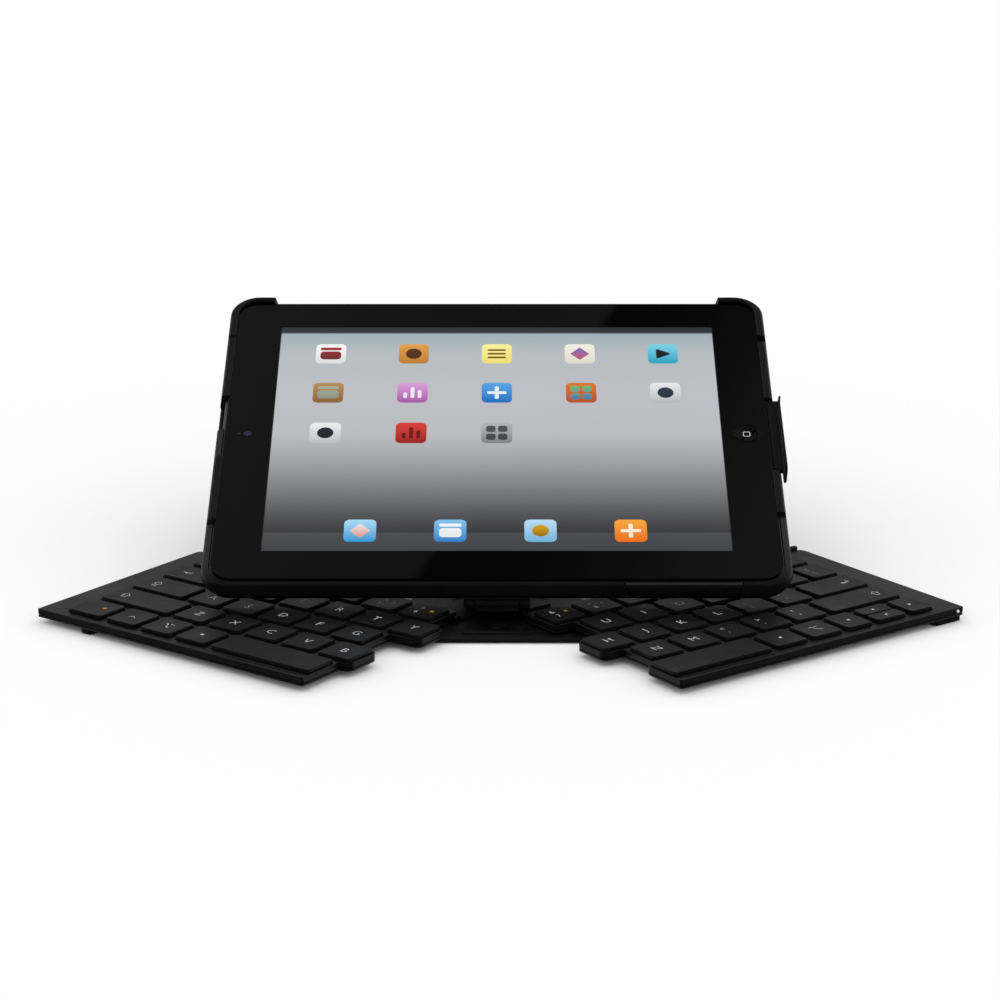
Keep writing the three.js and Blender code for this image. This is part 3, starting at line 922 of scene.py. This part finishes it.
# %% Feet, switch and lamp of the halves
FEET = [f"{word}_{end}_foot" for word in ("left", "right") for end in ("inner", "outer")]
trim = [edged(foot, RUBBER, "rubber", 0.25) for foot in FEET]
trim.append(edged("power_switch", LACQUER, "black_plastic", 0.25))
trim.append(edged("status_lamp", LIGHT_PIPE, "lamp", 0.08))
print("trim", [piece.name for piece in trim])

# %% [markdown]
# ## The tray
#
# The tray is one moulding: a thin back with a wall round it, and lips on the wall that snap over the
# tablet. The wall is a section carried along the rounded outline. Its height and the reach of its lip
# change along the way, so that it drops at the top, opens for the connector, and forms the corner caps.

# %% Tray wall
TRAY = {"width": 246.6, "height": 191.5, "radius": 13.5, "middle": 94.4}
WALL = 2.4
BACK_Z = (-0.8, 1.1)
RIM_Z = 9.6
LIP_Z = (10.5, 11.1)
LIP_REACH = 2.1
RIM_REACH = (1.2, 1.0)
RIM_SLOPE = 0.9
CAP_RISE = 0.5
STEP_LENGTH = 0.8
PORT_Y = (70.5, 116.7)
NOTCH_Y = (99.5, 118.1)
LEFT_LIPS = ((38.4, 80.2), (118.1, 160.5))
RIGHT_LIPS = ((42.8, 70.5), (116.7, 157.2))
CAP_X, CAP_Y, CAP_SLANT = 101.7, 160.5, 1.6
DOOR_X, DOOR_SLANT = (55.1, 99.7), 4.4
SIDES_X, BOTTOM_Y, TOP_Y = 119.5, 6, 183
OPEN_Z = (1.25, 3.2, 5.4, 2.6)
BELLY_Z = 5.5
FOOT_INSET = 6.6
UNDERSIDE = [(-0.8, 6.4), (-0.5, 5.6), (0.1, 4.4), (1.0, 3.0), (2.4, 1.5), (3.9, 0.55), (BELLY_Z, 0.0)]
CRADLE = [(BACK_Z[1], 5.6), (2.0, 4.2), (3.0, 3.4), (5.0, 2.6), (6.0, WALL)]


def tray_path():
    """Points along the tray's outline at even steps, as x, y and the outward direction."""
    w, h, r = TRAY["width"] / 2, TRAY["height"] / 2, TRAY["radius"]
    lines = [2 * (h - r), 2 * (w - r)] * 2
    quarter = math.pi * r / 2
    points = []
    centres = [(w - r, h - r), (r - w, h - r), (r - w, r - h), (w - r, r - h)]
    for index, (cx, cy) in enumerate(centres):
        turn = index * math.pi / 2
        along = np.linspace(-lines[index], 0, round(lines[index] / STEP_LENGTH), endpoint=False)
        out = np.array([math.cos(turn), math.sin(turn)])
        side_way = np.array([-out[1], out[0]])
        corner = np.array([cx, cy])
        straight = corner + out * r + along[:, None] * side_way
        points.append(np.column_stack([straight, np.tile(out, (len(along), 1))]))
        arc = turn + np.linspace(0, math.pi / 2, round(quarter / STEP_LENGTH), endpoint=False)
        way = np.column_stack([np.cos(arc), np.sin(arc)])
        points.append(np.column_stack([corner + r * way, way]))
    path = np.concatenate(points)
    path[:, 1] += TRAY["middle"]
    return path


def between(value, low, high, soft=0.5):
    """1 inside low..high and 0 outside, with straight ramps of the given length."""
    return np.clip(np.minimum(value - low, high - value) / soft + 0.5, 0, 1)


def wall_outside(z, lean_in):
    """Inset of the wall's outer face at a height: it curves under below its belly and leans in above."""
    below = np.interp(z, *zip(*UNDERSIDE))
    return below + lean_in * np.clip((z - BELLY_Z) / 4, 0, 1) ** 1.5


def wall_levels(path):
    """At every path point: how much lip there is, how high the wall stands, and how whole it is, which is 0
    where it is cut down for the door, the top edge, the notch or the port."""
    x, y = path[:, 0], path[:, 1]
    left = (x < -SIDES_X).astype(float)
    right = (x > SIDES_X).astype(float)
    lip = left * np.maximum(*[between(y, *span) for span in LEFT_LIPS])
    lip += right * np.maximum(*[between(y, *span) for span in RIGHT_LIPS])
    cap = (1 - between(x, -CAP_X, CAP_X, CAP_SLANT)) * (y > CAP_Y)
    lip = np.clip(lip + cap, 0, 1)
    door = (y < BOTTOM_Y) * between(x, *DOOR_X, DOOR_SLANT)
    lowered = (y > TOP_Y) * between(x, -CAP_X, CAP_X, CAP_SLANT)
    notch = left * between(y, *NOTCH_Y, 2.0)
    port = right * between(y, *PORT_Y, 1.0)
    high = RIM_Z + lip * (LIP_Z[1] - RIM_Z) + cap * CAP_RISE
    full = np.ones(len(path))
    for amount, level in zip((door, lowered, notch, port), OPEN_Z):
        high = high * (1 - amount) + level * amount
        full = full * (1 - amount)
    return lip, high, full


def tray_wall():
    """Section points (inset, height) for every path point, then carried along the path. The outer face
    leans in above its belly by a power of 1.5, and both faces curve under as the tablet's edge does."""
    path = tray_path()
    lip, high, full = wall_levels(path)
    lean_in = 0.9 + 0.8 * abs(path[:, 3]) - 0.3 * path[:, 3]
    reach = np.maximum(LIP_REACH * lip, full * (RIM_REACH[0] + RIM_REACH[1] * abs(path[:, 3])))
    under = np.where(lip > 0.01, LIP_Z[0], high - 0.25 - 0.25 * full)
    under = np.minimum(under, high - 0.2)
    edge = np.minimum(0.7, (high - BACK_Z[1]) * 0.5)

    def outside(z):
        """Inset of the outer face."""
        return wall_outside(z, lean_in)

    def inside(z):
        """Inset of the inner face, which cradles the tablet's edge."""
        return np.interp(z, *zip(*CRADLE))

    zero = np.zeros(len(path))
    drop = RIM_SLOPE * abs(path[:, 2]) * full * (1 - 0.7 * lip)
    crest, lip_root = outside(high - edge - drop), inside(under - 0.1)
    section = [(zero + FOOT_INSET, zero + BACK_Z[1]), (zero + CRADLE[0][1], zero + BACK_Z[1])]
    for step, (level, _) in enumerate(CRADLE[1:]):
        z = np.minimum(level, under - 0.14 + 0.01 * step)
        section.append((inside(z), z))
    section += [
        (lip_root, under - 0.1), (lip_root + reach * 0.98, under), (lip_root + reach, under + 0.12),
        (lip_root + reach - 0.1, high - 0.12), (lip_root + reach - 0.3, high),
        (crest + edge + 0.3, high - drop * 0.8), (crest + edge * 0.5, high - edge * 0.13 - drop),
        (crest + edge * 0.13, high - edge * 0.5 - drop), (crest, high - edge - drop),
    ]
    for step, level in enumerate((7.5, *[z for z, _ in UNDERSIDE[::-1]])):
        z = np.minimum(level, high - edge - drop - 0.01 * (step + 1))
        section.append((outside(z), z))
    section.append((zero + FOOT_INSET, zero + BACK_Z[0]))
    inset = np.array([step[0] for step in section])
    height = np.array([step[1] for step in section])
    flat = path[None, :, :2] - inset[..., None] * path[None, :, 2:]
    rings = np.concatenate([flat, height[..., None]], 2)
    rings = np.concatenate([rings, rings[:1]])
    return skin("tray_wall", rings, on_tray, ABS, 34, capped=False)


wall = ride_for(tray_wall(), "black_plastic", "tablet_tray")
print("tray wall points", len(wall.data.vertices))

# %% [markdown]
# The back of the tray is pierced: a window lets the prop leg fold flat, and a smaller one in the corner
# is for the tablet's camera. The wall's foot overlaps the back's edge inside the plastic.

# %% Tray back, insert and connector guard
LEG_WINDOW = (38.0, 69.8, 147.0)
EYE = {"size": 14, "radius": 4, "x": -104, "up": 79.85}
BACK_INSET = 6.0
BACK_SKIN = 0.04
INSERT_Z = (1.55, 9.45)
INSERT_START_X = (57.6, 53.3)
INSERT_END_X = (97.2, 101.5)
INSERT_PROUD = 0.1


def tray_back():
    """The back plate with its leg window and camera window."""
    width, height = TRAY["width"] - 2 * BACK_INSET, TRAY["height"] - 2 * BACK_INSET
    outline = oblong(width, height, TRAY["radius"] - BACK_INSET, 0, TRAY["middle"], 8)
    leg_y = (LEG_WINDOW[1] + LEG_WINDOW[2]) / 2
    leg = oblong(LEG_WINDOW[0], LEG_WINDOW[2] - LEG_WINDOW[1], 1.2, 0, leg_y, 4)
    eye = oblong(EYE["size"], EYE["size"], EYE["radius"], EYE["x"], TRAY["middle"] + EYE["up"], 6)
    low, high = BACK_Z[0] + BACK_SKIN, BACK_Z[1] - BACK_SKIN
    plate = pierced_plate("tray_back", [outline, leg, eye], low, high, 0.25, on_tray, ABS)
    return ride_for(plate, "black_plastic", body="tray")


def wall_insert():
    """The long inlay in the bottom wall: the wall's own curve, carried across between two slanted ends."""
    low, high = INSERT_Z
    heights = np.linspace(low, high, 14)
    foot = TRAY["middle"] - TRAY["height"] / 2
    front = foot + wall_outside(heights, 2.0) - INSERT_PROUD
    loop_v = np.concatenate([front, [1.0, 1.15, 1.15, 1.0]])
    loop_z = np.concatenate([heights, [high, high - 0.15, low + 0.15, low]])
    middle = np.array([loop_v.mean(), loop_z.mean()])
    rings = []
    for along, size in ((0, 0.94), (0.004, 0.99), (0.01, 1), (0.99, 1), (0.996, 0.99), (1, 0.94)):
        v = middle[0] + (loop_v - middle[0]) * size
        z = middle[1] + (loop_z - middle[1]) * size
        start = np.interp(z, (1.5, 9.7), INSERT_START_X)
        end = np.interp(z, (1.5, 9.7), INSERT_END_X)
        rings.append(np.column_stack([start + (end - start) * along, v, z]))
    leaf = skin("bottom_wall_insert_leaf", np.array(rings), on_tray, ABS, 34)
    return ride_for(leaf, "black_plastic", "bottom_wall_insert")


def connector_guard():
    """A ledge over the tablet's edge with an outer fin: its section is carried up the tray. The fin grows at
    the foot, where the ledge narrows to a bracket on the wall, and flares outwards at the head."""
    edge = TRAY["width"] / 2 - 2.7
    floor_z, top_z = (8.2, 9.9), 12.9
    steps = np.array([64.5, 64.9, 66.5, 69.4, 70.4, 71.0, 72.4, 76, 88, 102, 111, 114, 115.7, 116.5])
    grown = np.clip((steps - 68.8) / 2.2, 0, 1)
    flare = 0.5 * np.clip((steps - 112) / 4, 0, 1) ** 2
    foot = edge - 1.0 + 3.7 * np.clip((71.4 - steps) / 1, 0, 1)
    top = floor_z[1] + (top_z - floor_z[1]) * grown
    out = edge + 4.8 + flare - 0.7 * np.clip((69.4 - steps) / 5, 0, 1)
    one = np.ones(len(steps))
    section = [
        (foot, 9.3 * one), (np.maximum(edge + 0.4, foot + 0.1), 9.25 * one),
        (np.maximum(edge + 0.5, foot + 0.2), floor_z[0] * one), (out - 0.3, floor_z[0] * one),
        (out, floor_z[0] + 0.3 * one), (out, top - 0.3 * grown), (out - 0.2, top), (out - 0.8, top),
        (out - 1.0, top - 0.3 * grown), (out - 1.1, floor_z[1] + 0.2 * grown), (out - 1.3, floor_z[1] * one),
        (foot + 0.2, floor_z[1] * one), (foot, floor_z[1] - 0.2 * one),
    ]
    across, height = np.array(section).transpose(1, 2, 0)
    along = np.broadcast_to(steps[:, None], across.shape)
    guard = skin("connector_guard_channel", np.stack([across, along, height], 2), on_tray, ABS)
    return ride_for(guard, "black_plastic", "connector_guard")


EAR_Y = 72
EAR_X = (16.7, 19.1)


def leg_ears():
    """The two ears in the leg window's sides that hold the leg pin."""
    made = []
    outline = rounded([[-2, -0.7], [2, -0.7], [2, 1.0], [-2, 1.0]], 0.4, 3)
    for word, side in (("left", -1), ("right", 1)):

        def stand(points):
            """Turns the flat ear upright, across the tray."""
            return on_tray(np.column_stack([side * points[:, 2], points[:, 0] + EAR_Y, points[:, 1]]))

        ear = slab(word + "_leg_ear", outline, *EAR_X, 0.2, stand, ABS)
        made.append(ride_for(ear, "black_plastic", body="tray"))
    return made


tray_pieces = [tray_back(), wall_insert(), connector_guard(), *leg_ears()]
print("tray pieces", [piece.name for piece in tray_pieces])

# %% [markdown]
# ## The tablet in the tray
#
# The tablet is a generic one. Its back is a dished metal shell, its front one sheet of black glass with
# a round key and a small camera. The picture on the screen is a grey gradient with plain coloured tiles.

# %% Tablet shell and glass
TABLET = {"width": 241.2, "height": 185.7, "radius": 11.0, "middle": 94.4, "back": 1.4, "front": 10.2}
GLASS_SIZE = (238.6, 181.2)
SCREEN = (197.0, 147.8)
SHELL_EDGE = (3.2, 6.6)
GLASS_Z = (9.2, 10.2)
BUTTON_X = SCREEN[0] / 2 + 11
KEY_HOLE_RADIUS = 5.8
ROUND_KEY_RADIUS = 5.5
ROUND_KEY_Z = 10.15
BOWL_DEPTH = 0.35


def tablet_shell():
    """The back: its edge is a quarter of an ellipse, 3.2 mm in and 6.6 mm up, that ends in a bright rim."""
    outline = oblong(TABLET["width"], TABLET["height"], TABLET["radius"], 0, TABLET["middle"], 10)
    turn = np.linspace(0, math.pi / 2, 8)
    inwards, up = SHELL_EDGE
    curve = [(inwards * (1 - math.sin(a)), TABLET["back"] + up * (1 - math.cos(a))) for a in turn]
    profile = [(5.0, TABLET["back"]), *curve, (0, 8.3), (0.12, 8.7), (0.45, 8.85), (1.4, 8.85)]
    shell = skin("tablet_shell", carried(outline, profile), on_tray, ALUMINIUM, 40)
    return ride_for(shell, "back_aluminium", "tablet_body")


def tablet_glass():
    """The front glass with a hole for the round key; the screen shows through it as a lit area."""
    outline = oblong(*GLASS_SIZE, TABLET["radius"] - 1.5, 0, TABLET["middle"], 10)
    key_hole = circle(KEY_HOLE_RADIUS, BUTTON_X, TABLET["middle"])
    window = oblong(*SCREEN, 0.05, 0, TABLET["middle"], 1)
    loops = [outline, key_hole, window]
    glass = pierced_plate("tablet_front_glass", loops, *GLASS_Z, 0.18, on_tray, GLASS, 8)
    return ride_for(glass, "black_glass", "tablet_bezel")


def round_key():
    """The round key: a shallow bowl of glass, whose height is the top less the depth times one minus the
    square of the distance from its middle."""
    profile = [(1.0, 9.45), (0, 9.45), (0, 10.0), (0.12, 10.12), (0.35, ROUND_KEY_Z)]
    sides = carried(circle(ROUND_KEY_RADIUS, BUTTON_X, TABLET["middle"]), profile)
    middle = np.array([BUTTON_X, TABLET["middle"]])
    edge = sides[-1, :, :2] - middle
    scale = np.linspace(0, 1, 7)[-2:0:-1, None, None]
    height = ROUND_KEY_Z - BOWL_DEPTH * (1 - scale ** 2) * np.ones((1, len(edge), 1))
    rings = np.concatenate([sides, np.concatenate([middle + edge[None] * scale, height], 2)])
    key = skin("tablet_round_key", rings, on_tray, GLASS, 50)
    return ride_for(key, "black_glass", "tablet_button")


tablet_pieces = [tablet_shell(), tablet_glass(), round_key()]
print("tablet pieces", [piece.name for piece in tablet_pieces])

# %% [markdown]
# ### The picture on the screen
#
# A lit screen is light, not paint, so its finish is mostly emission. The picture is a gradient up the
# tablet: bright grey above, dark grey below, with a shelf along the foot and a thin dark bar at the head.
# The gradient reads Object coordinates, from which a subtraction and a dot product find the height up the
# tray's own frame.

# %% Screen picture
SCREEN_LOW = TABLET["middle"] - SCREEN[1] / 2
PICTURE = [
    (0.0, "#434447"), (0.072, "#4c4d50"), (0.078, "#3c3c3f"), (0.1, "#424245"), (0.16, "#57585c"),
    (0.226, "#717276"), (0.314, "#8d8f93"), (0.403, "#a7a8ac"), (0.5, "#bbbcc0"), (0.66, "#bebfc4"),
    (0.87, "#b7bdc1"), (0.965, "#a0b0b8"), (0.972, "#33393d"), (1.0, "#2c3236"),
]
LIT_PANE = {"IOR": 1.51, "Specular_IOR_Level": 0.35, "Emission_Strength": 1.0}


def picture():
    """Lit screen: a grey gradient in the tray's frame, under a polished pane."""
    made = finish_named("screen_lit_picture", "#050505", 0.05, **LIT_PANE)
    tree = made.node_tree
    place = node(tree, "ShaderNodeTexCoord").outputs["Object"]
    origin = on_tray([[0, SCREEN_LOW, 0]])[0]
    scale = 1 / (SCREEN[1] * MM)
    moved = node(tree, "ShaderNodeVectorMath", {"operation": "SUBTRACT"}, i0=place, i1=origin.tolist())
    along = (0, math.cos(TILT) * scale, math.sin(TILT) * scale)
    height = node(tree, "ShaderNodeVectorMath", {"operation": "DOT_PRODUCT"}, i0=moved.outputs[0], i1=along)
    bands = [(at, linear(code)) for at, code in PICTURE]
    feed(made, "Emission Color", colours_along(tree, height.outputs["Value"], bands))
    return made


PANE_GAP = 0.3
PANE_Z = (9.3, 10.14)
pane_outline = oblong(SCREEN[0] - PANE_GAP, SCREEN[1] - PANE_GAP, 0.2, 0, TABLET["middle"], 1)
pane = slab("screen_pane", pane_outline, *PANE_Z, 0.05, on_tray, picture())
ride_for(pane, "display", "tablet_display")
print("screen low edge", round(SCREEN_LOW, 2))

# %% [markdown]
# ### Tiles on the screen
#
# Each tile is a thin lit plate with a plain sign on it, such as a ring or three bars. The tiles read their
# own UV map for a glossy gradient from top to bottom. No tile copies a real program's picture.

# %% Tiles and signs
TILE = 13.6
TILE_PITCH = (37.6, 27.1)
TOP_ROW_Y = 149.1
DOCK_Y = 32.6
DOCK_PITCH = 38
DOCK_SHIFT = -0.6
TILE_Z = (10.1, 10.2)
SIGN_Z = (10.15, 10.24)


def lit_tile(name, top, low):
    """Lit colour that fades from the top colour to the low one, up the tile's own UV map."""
    made = finish_named(name, "#050505", 0.06, **LIT_PANE)
    tree = made.node_tree
    sheet = node(tree, "ShaderNodeUVMap", {"uv_map": "tile"}).outputs[0]
    parts = node(tree, "ShaderNodeSeparateXYZ", None, Vector=sheet)
    fade = colours_along(tree, parts.outputs["Y"], [(0, linear(low)), (1, linear(top))])
    feed(made, "Emission Color", fade)
    return made


def lit_plate(name, outline, z, finish, centre, size=TILE):
    """A thin lit plate on the screen. Its UV map is its place in the tray's frame, over one tile."""
    plate = slab(name, outline, *z, 0.03, on_tray, finish, 1)
    points = np.zeros(len(plate.data.vertices) * 3)
    plate.data.vertices.foreach_get("co", points)
    local = turn_x(points.reshape(-1, 3) - TILT_PIN, -TILT)[:, :2] / MM
    corner = np.zeros(len(plate.data.loops), int)
    plate.data.loops.foreach_get("vertex_index", corner)
    layer = plate.data.uv_layers.new(name="tile")
    layer.data.foreach_set("uv", ((local - centre) / size + 0.5)[corner].ravel())
    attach(plate, "tray")
    return plate


def sign_outlines(kind, x, y):
    """The closed outlines of a plain sign round a point."""

    def bar(w, h, dx, dy):
        """A rounded bar, w wide and h high, set off by dx and dy."""
        return oblong(w, h, min(w, h) * 0.3, x + dx, y + dy, 3)

    if kind == "disc":
        return [circle(3.6, x, y, 32)]
    if kind == "bars":
        return [bar(8.2, 1.1, 0, dy) for dy in (2.6, 0, -2.6)]
    if kind == "columns":
        return [bar(1.7, height, dx, height / 2 - 3.6) for dx, height in ((-3.2, 3.6), (0, 7.2), (3.2, 5.2))]
    if kind == "window":
        return [bar(9.4, 1.9, 0, 3.4), bar(9.4, 5.6, 0, -1.2)]
    if kind == "quarters":
        return [bar(4.2, 4.2, dx, dy) for dx in (-2.6, 2.6) for dy in (-2.6, 2.6)]
    if kind == "triangle":
        return [rounded([[x - 3, y - 3.6], [x + 4, y], [x - 3, y + 3.6]], 0.6, 3)]
    if kind == "diamond":
        return [rounded([[x, y - 4.4], [x + 4.4, y], [x, y + 4.4], [x - 4.4, y]], 0.6, 3)]
    return [bar(8.6, 1.8, 0, 0), bar(1.8, 3.2, 0, 2.6), bar(1.8, 3.2, 0, -2.6)]


TILES = [
    ("calendar", 0, 0, "#fafafa", "#dcdddf", "window", "#b9343a", "#2c2c2e"),
    ("people", 1, 0, "#e0a050", "#bd7c32", "disc", "#5c3a1c", "#4a2c12"),
    ("notes", 2, 0, "#fbf09a", "#eede70", "bars", "#6a4630", "#5a3a26"),
    ("places", 3, 0, "#f1efe4", "#dfdccb", "diamond", "#3f78c9", "#d8493c"),
    ("films", 4, 0, "#7fd3e6", "#2c9fc0", "triangle", "#262a2c", "#1c1f21"),
    ("receiver", 0, 1, "#b88d56", "#8a6236", "window", "#aeb9a6", "#7d8a76"),
    ("sound", 1, 1, "#d9a0d8", "#a554a8", "columns", "#f6eef6", "#ecdcec"),
    ("shop", 2, 1, "#5aa6e2", "#1d6cc0", "plus", "#f0f6fb", "#dfecf8"),
    ("games", 3, 1, "#d97a35", "#b8502a", "quarters", "#7ec25a", "#3467b8"),
    ("calls", 4, 1, "#e9ebee", "#b4b8bd", "disc", "#3c4a5c", "#1a2430"),
    ("lens", 0, 2, "#eceef0", "#b9bdc1", "disc", "#2c3238", "#14181c"),
    ("booth", 1, 2, "#d8403a", "#9c1f1f", "columns", "#7e1a18", "#5c1212"),
    ("tools", 2, 2, "#b4b7ba", "#7e8285", "quarters", "#55585b", "#3c3e40"),
]
DOCK = [
    ("compass", "#a7dcf4", "#2e93d2", "diamond", "#f4f7f8", "#d95f3c"),
    ("letter", "#86c4ee", "#2f7ec6", "window", "#f6f7f8", "#dfe4e8"),
    ("pictures", "#b9dff2", "#6fb2da", "disc", "#f0b425", "#6a4414"),
    ("player", "#f9a83e", "#ea6c18", "plus", "#fdf2e2", "#fbe6cc"),
]


def build_tile(name, x, y, colours, kind, sign_colours):
    """One tile and the outlines of its sign, each a plate on the screen."""
    finish = lit_tile("backlit_" + name, *colours)
    tile = lit_plate(f"tile_{name}", oblong(TILE, TILE, 2.4, x, y, 5), TILE_Z, finish, (x, y))
    mark = lit_tile("backlit_" + name + "_sign", *sign_colours)
    signs = sign_outlines(kind, x, y)
    made = [lit_plate(f"tile_{name}_sign_{i + 1}", one, SIGN_Z, mark, (x, y)) for i, one in enumerate(signs)]
    return [tile, *made]


tiles = []
for name, column, row, top, low, kind, sign_top, sign_low in TILES:
    x, y = (column - 2) * TILE_PITCH[0], TOP_ROW_Y - row * TILE_PITCH[1]
    tiles += build_tile(name, x, y, (top, low), kind, (sign_top, sign_low))
for index, (name, top, low, kind, sign_top, sign_low) in enumerate(DOCK):
    x = (index - 1.5) * DOCK_PITCH + DOCK_SHIFT
    tiles += build_tile(name, x, DOCK_Y, (top, low), kind, (sign_top, sign_low))
print("tile plates", len(tiles))

# %% [markdown]
# ### Small marks on the glass
#
# A camera looks out through a clear dot in the black paint, with a light sensor beside it. The round key
# carries a plain printed square.

# %% Camera, sensor and key sign


def camera_glass():
    """Coated lens behind the glass: deep violet-black with a bright coat."""
    finish = finish_named("glass_coated_lens", "#15121f", 0.08, IOR=1.7, Specular_IOR_Level=0.9)
    mottle(finish, grain(finish, 0.5, 1), "#100d1a", "#2b2440")
    return finish


LENS = camera_glass()
MID = TABLET["middle"]
glass_marks = [
    slab("tablet_camera_lens", circle(1.7, -109.2, MID, 32), 9.9, 10.23, 0.08, on_tray, LENS),
    slab("tablet_light_sensor", circle(0.7, -113.0, MID, 20), 9.9, 10.22, 0.05, on_tray, LENS),
]
for mark in glass_marks:
    ride_for(mark, "black_glass", body="tray")
square = oblong(3.2, 3.2, 0.8, BUTTON_X, MID, 5)
line, low, high = 0.34, 9.78, 9.87
frame_rings = carried(square, [(0, low), (0, high), (line, high), (line, low), (0, low)])
key_sign = skin("round_key_square", frame_rings, on_tray, WHITE_INK, capped=False)
ride_for(key_sign, "black_glass", body="button")
print("glass marks", len(glass_marks) + 1)

# %% [markdown]
# ## The studio
#
# The case stands on a white sweep under an even white sky, which is how catalogue pictures of black
# products are lit. Black gloss shows what it reflects, so the sky that gloss sees is dimmer. It is dark
# towards the front and bright low at the back, has a light panel at each side, and carries one slanted
# edge that puts a glare on the glass. The floor is left out of reflections, as a studio hand would flag
# it off with black card.

# %% Floor and sky
FLOOR_SIZE = 14.0


def floor_paper():
    """White sweep paper, matt and even."""
    return finish_named("paper_white_sweep", "#f6f6f6", 0.95, Specular_IOR_Level=0.0)


half = FLOOR_SIZE / 2
floor = add_mesh("studio_floor", [[-half, -half, 0], [half, -half, 0], [half, half, 0], [-half, half, 0]],
                 [[0, 1, 2, 3]], floor_paper())
floor.visible_glossy = False

SKY_LIGHT = 1.09
GLOSS_LIGHT = 0.36
GLOSS_BY_Y = [(0.0, 0.2), (0.1, 0.2), (0.25, 0.34), (0.33, 0.4), (0.45, 0.44), (0.6, 0.5), (0.96, 0.95)]
GLOSS_BY_X = {"From_Min": 0.0, "From_Max": 0.2, "To_Min": 0.6, "To_Max": 1.25}
GLOSS_BY_Z = {"From_Min": -0.02, "From_Max": 0.06, "To_Min": 0.4, "To_Max": 1.0}
PANEL_ASIDE = {"From_Min": 0.3, "From_Max": 0.6, "To_Min": 0.0, "To_Max": 1.2}
PANEL_BEHIND = {"From_Min": -0.1, "From_Max": 0.25}
GLARE_EDGE = {"at": -0.027, "lean": 0.79, "from": 0.329}
GLARE_LEVELS = [(0.0, 1.0), (0.003, 0.12), (0.04, 0.2), (0.12, 1.0)]


def greys(levels):
    """Stops of plain grey for each place and level."""
    return [(at, (level, level, level, 1)) for at, level in levels]


def build_sky():
    """White for the camera and for matt light; a dim sky with a slanted edge for gloss."""
    world = bpy.data.worlds.new("studio_sky")
    bpy.context.scene.world = world
    world.use_nodes = True
    world.cycles.sampling_method = "NONE"
    tree = world.node_tree
    tree.nodes.clear()
    ray = node(tree, "ShaderNodeLightPath")
    way = node(tree, "ShaderNodeTexCoord").outputs["Generated"]
    parts = node(tree, "ShaderNodeSeparateXYZ", None, Vector=way).outputs
    lean = node(tree, "ShaderNodeMath", {"operation": "MULTIPLY_ADD"}, i0=parts["Y"], i1=-GLARE_EDGE["lean"],
                i2=GLARE_EDGE["lean"] * GLARE_EDGE["from"] - GLARE_EDGE["at"])
    past = node(tree, "ShaderNodeMath", {"operation": "ADD"}, i0=parts["X"], i1=lean.outputs[0])
    deep = colours_along(tree, parts["Y"], greys(GLOSS_BY_Y))
    above = node(tree, "ShaderNodeMapRange", None, Value=parts["Z"], **GLOSS_BY_Z)
    off_middle = node(tree, "ShaderNodeMath", {"operation": "ABSOLUTE"}, i0=parts["X"]).outputs[0]
    sides = node(tree, "ShaderNodeMapRange", None, Value=off_middle, **GLOSS_BY_X)
    gloss = colours_along(tree, past.outputs[0], greys(GLARE_LEVELS))
    for factor in (deep, above.outputs[0], sides.outputs[0]):
        times = {"data_type": "RGBA", "blend_type": "MULTIPLY"}
        gloss = node(tree, "ShaderNodeMix", times, i0=1.0, i6=gloss, i7=factor).outputs[2]
    aside = node(tree, "ShaderNodeMapRange", None, Value=off_middle, **PANEL_ASIDE).outputs[0]
    behind = node(tree, "ShaderNodeMapRange", None, Value=parts["Y"], **PANEL_BEHIND).outputs[0]
    panels = node(tree, "ShaderNodeMath", {"operation": "MULTIPLY"}, i0=aside, i1=behind)
    lit = node(tree, "ShaderNodeMix", {"data_type": "RGBA", "blend_type": "ADD"}, i0=1.0, i6=gloss,
               i7=panels.outputs[0])
    dim = node(tree, "ShaderNodeBackground", None, Color=lit.outputs[2], Strength=GLOSS_LIGHT)
    white = node(tree, "ShaderNodeBackground", None, Color=(1, 1, 1, 1), Strength=SKY_LIGHT)
    both = node(tree, "ShaderNodeMixShader", None, i0=ray.outputs["Is Glossy Ray"], i1=white.outputs[0],
                i2=dim.outputs[0])
    node(tree, "ShaderNodeOutputWorld", None, Surface=both.outputs[0])


build_sky()
bpy.context.scene.view_settings.view_transform = "Standard"
print("sky", SKY_LIGHT, "gloss", GLOSS_LIGHT)
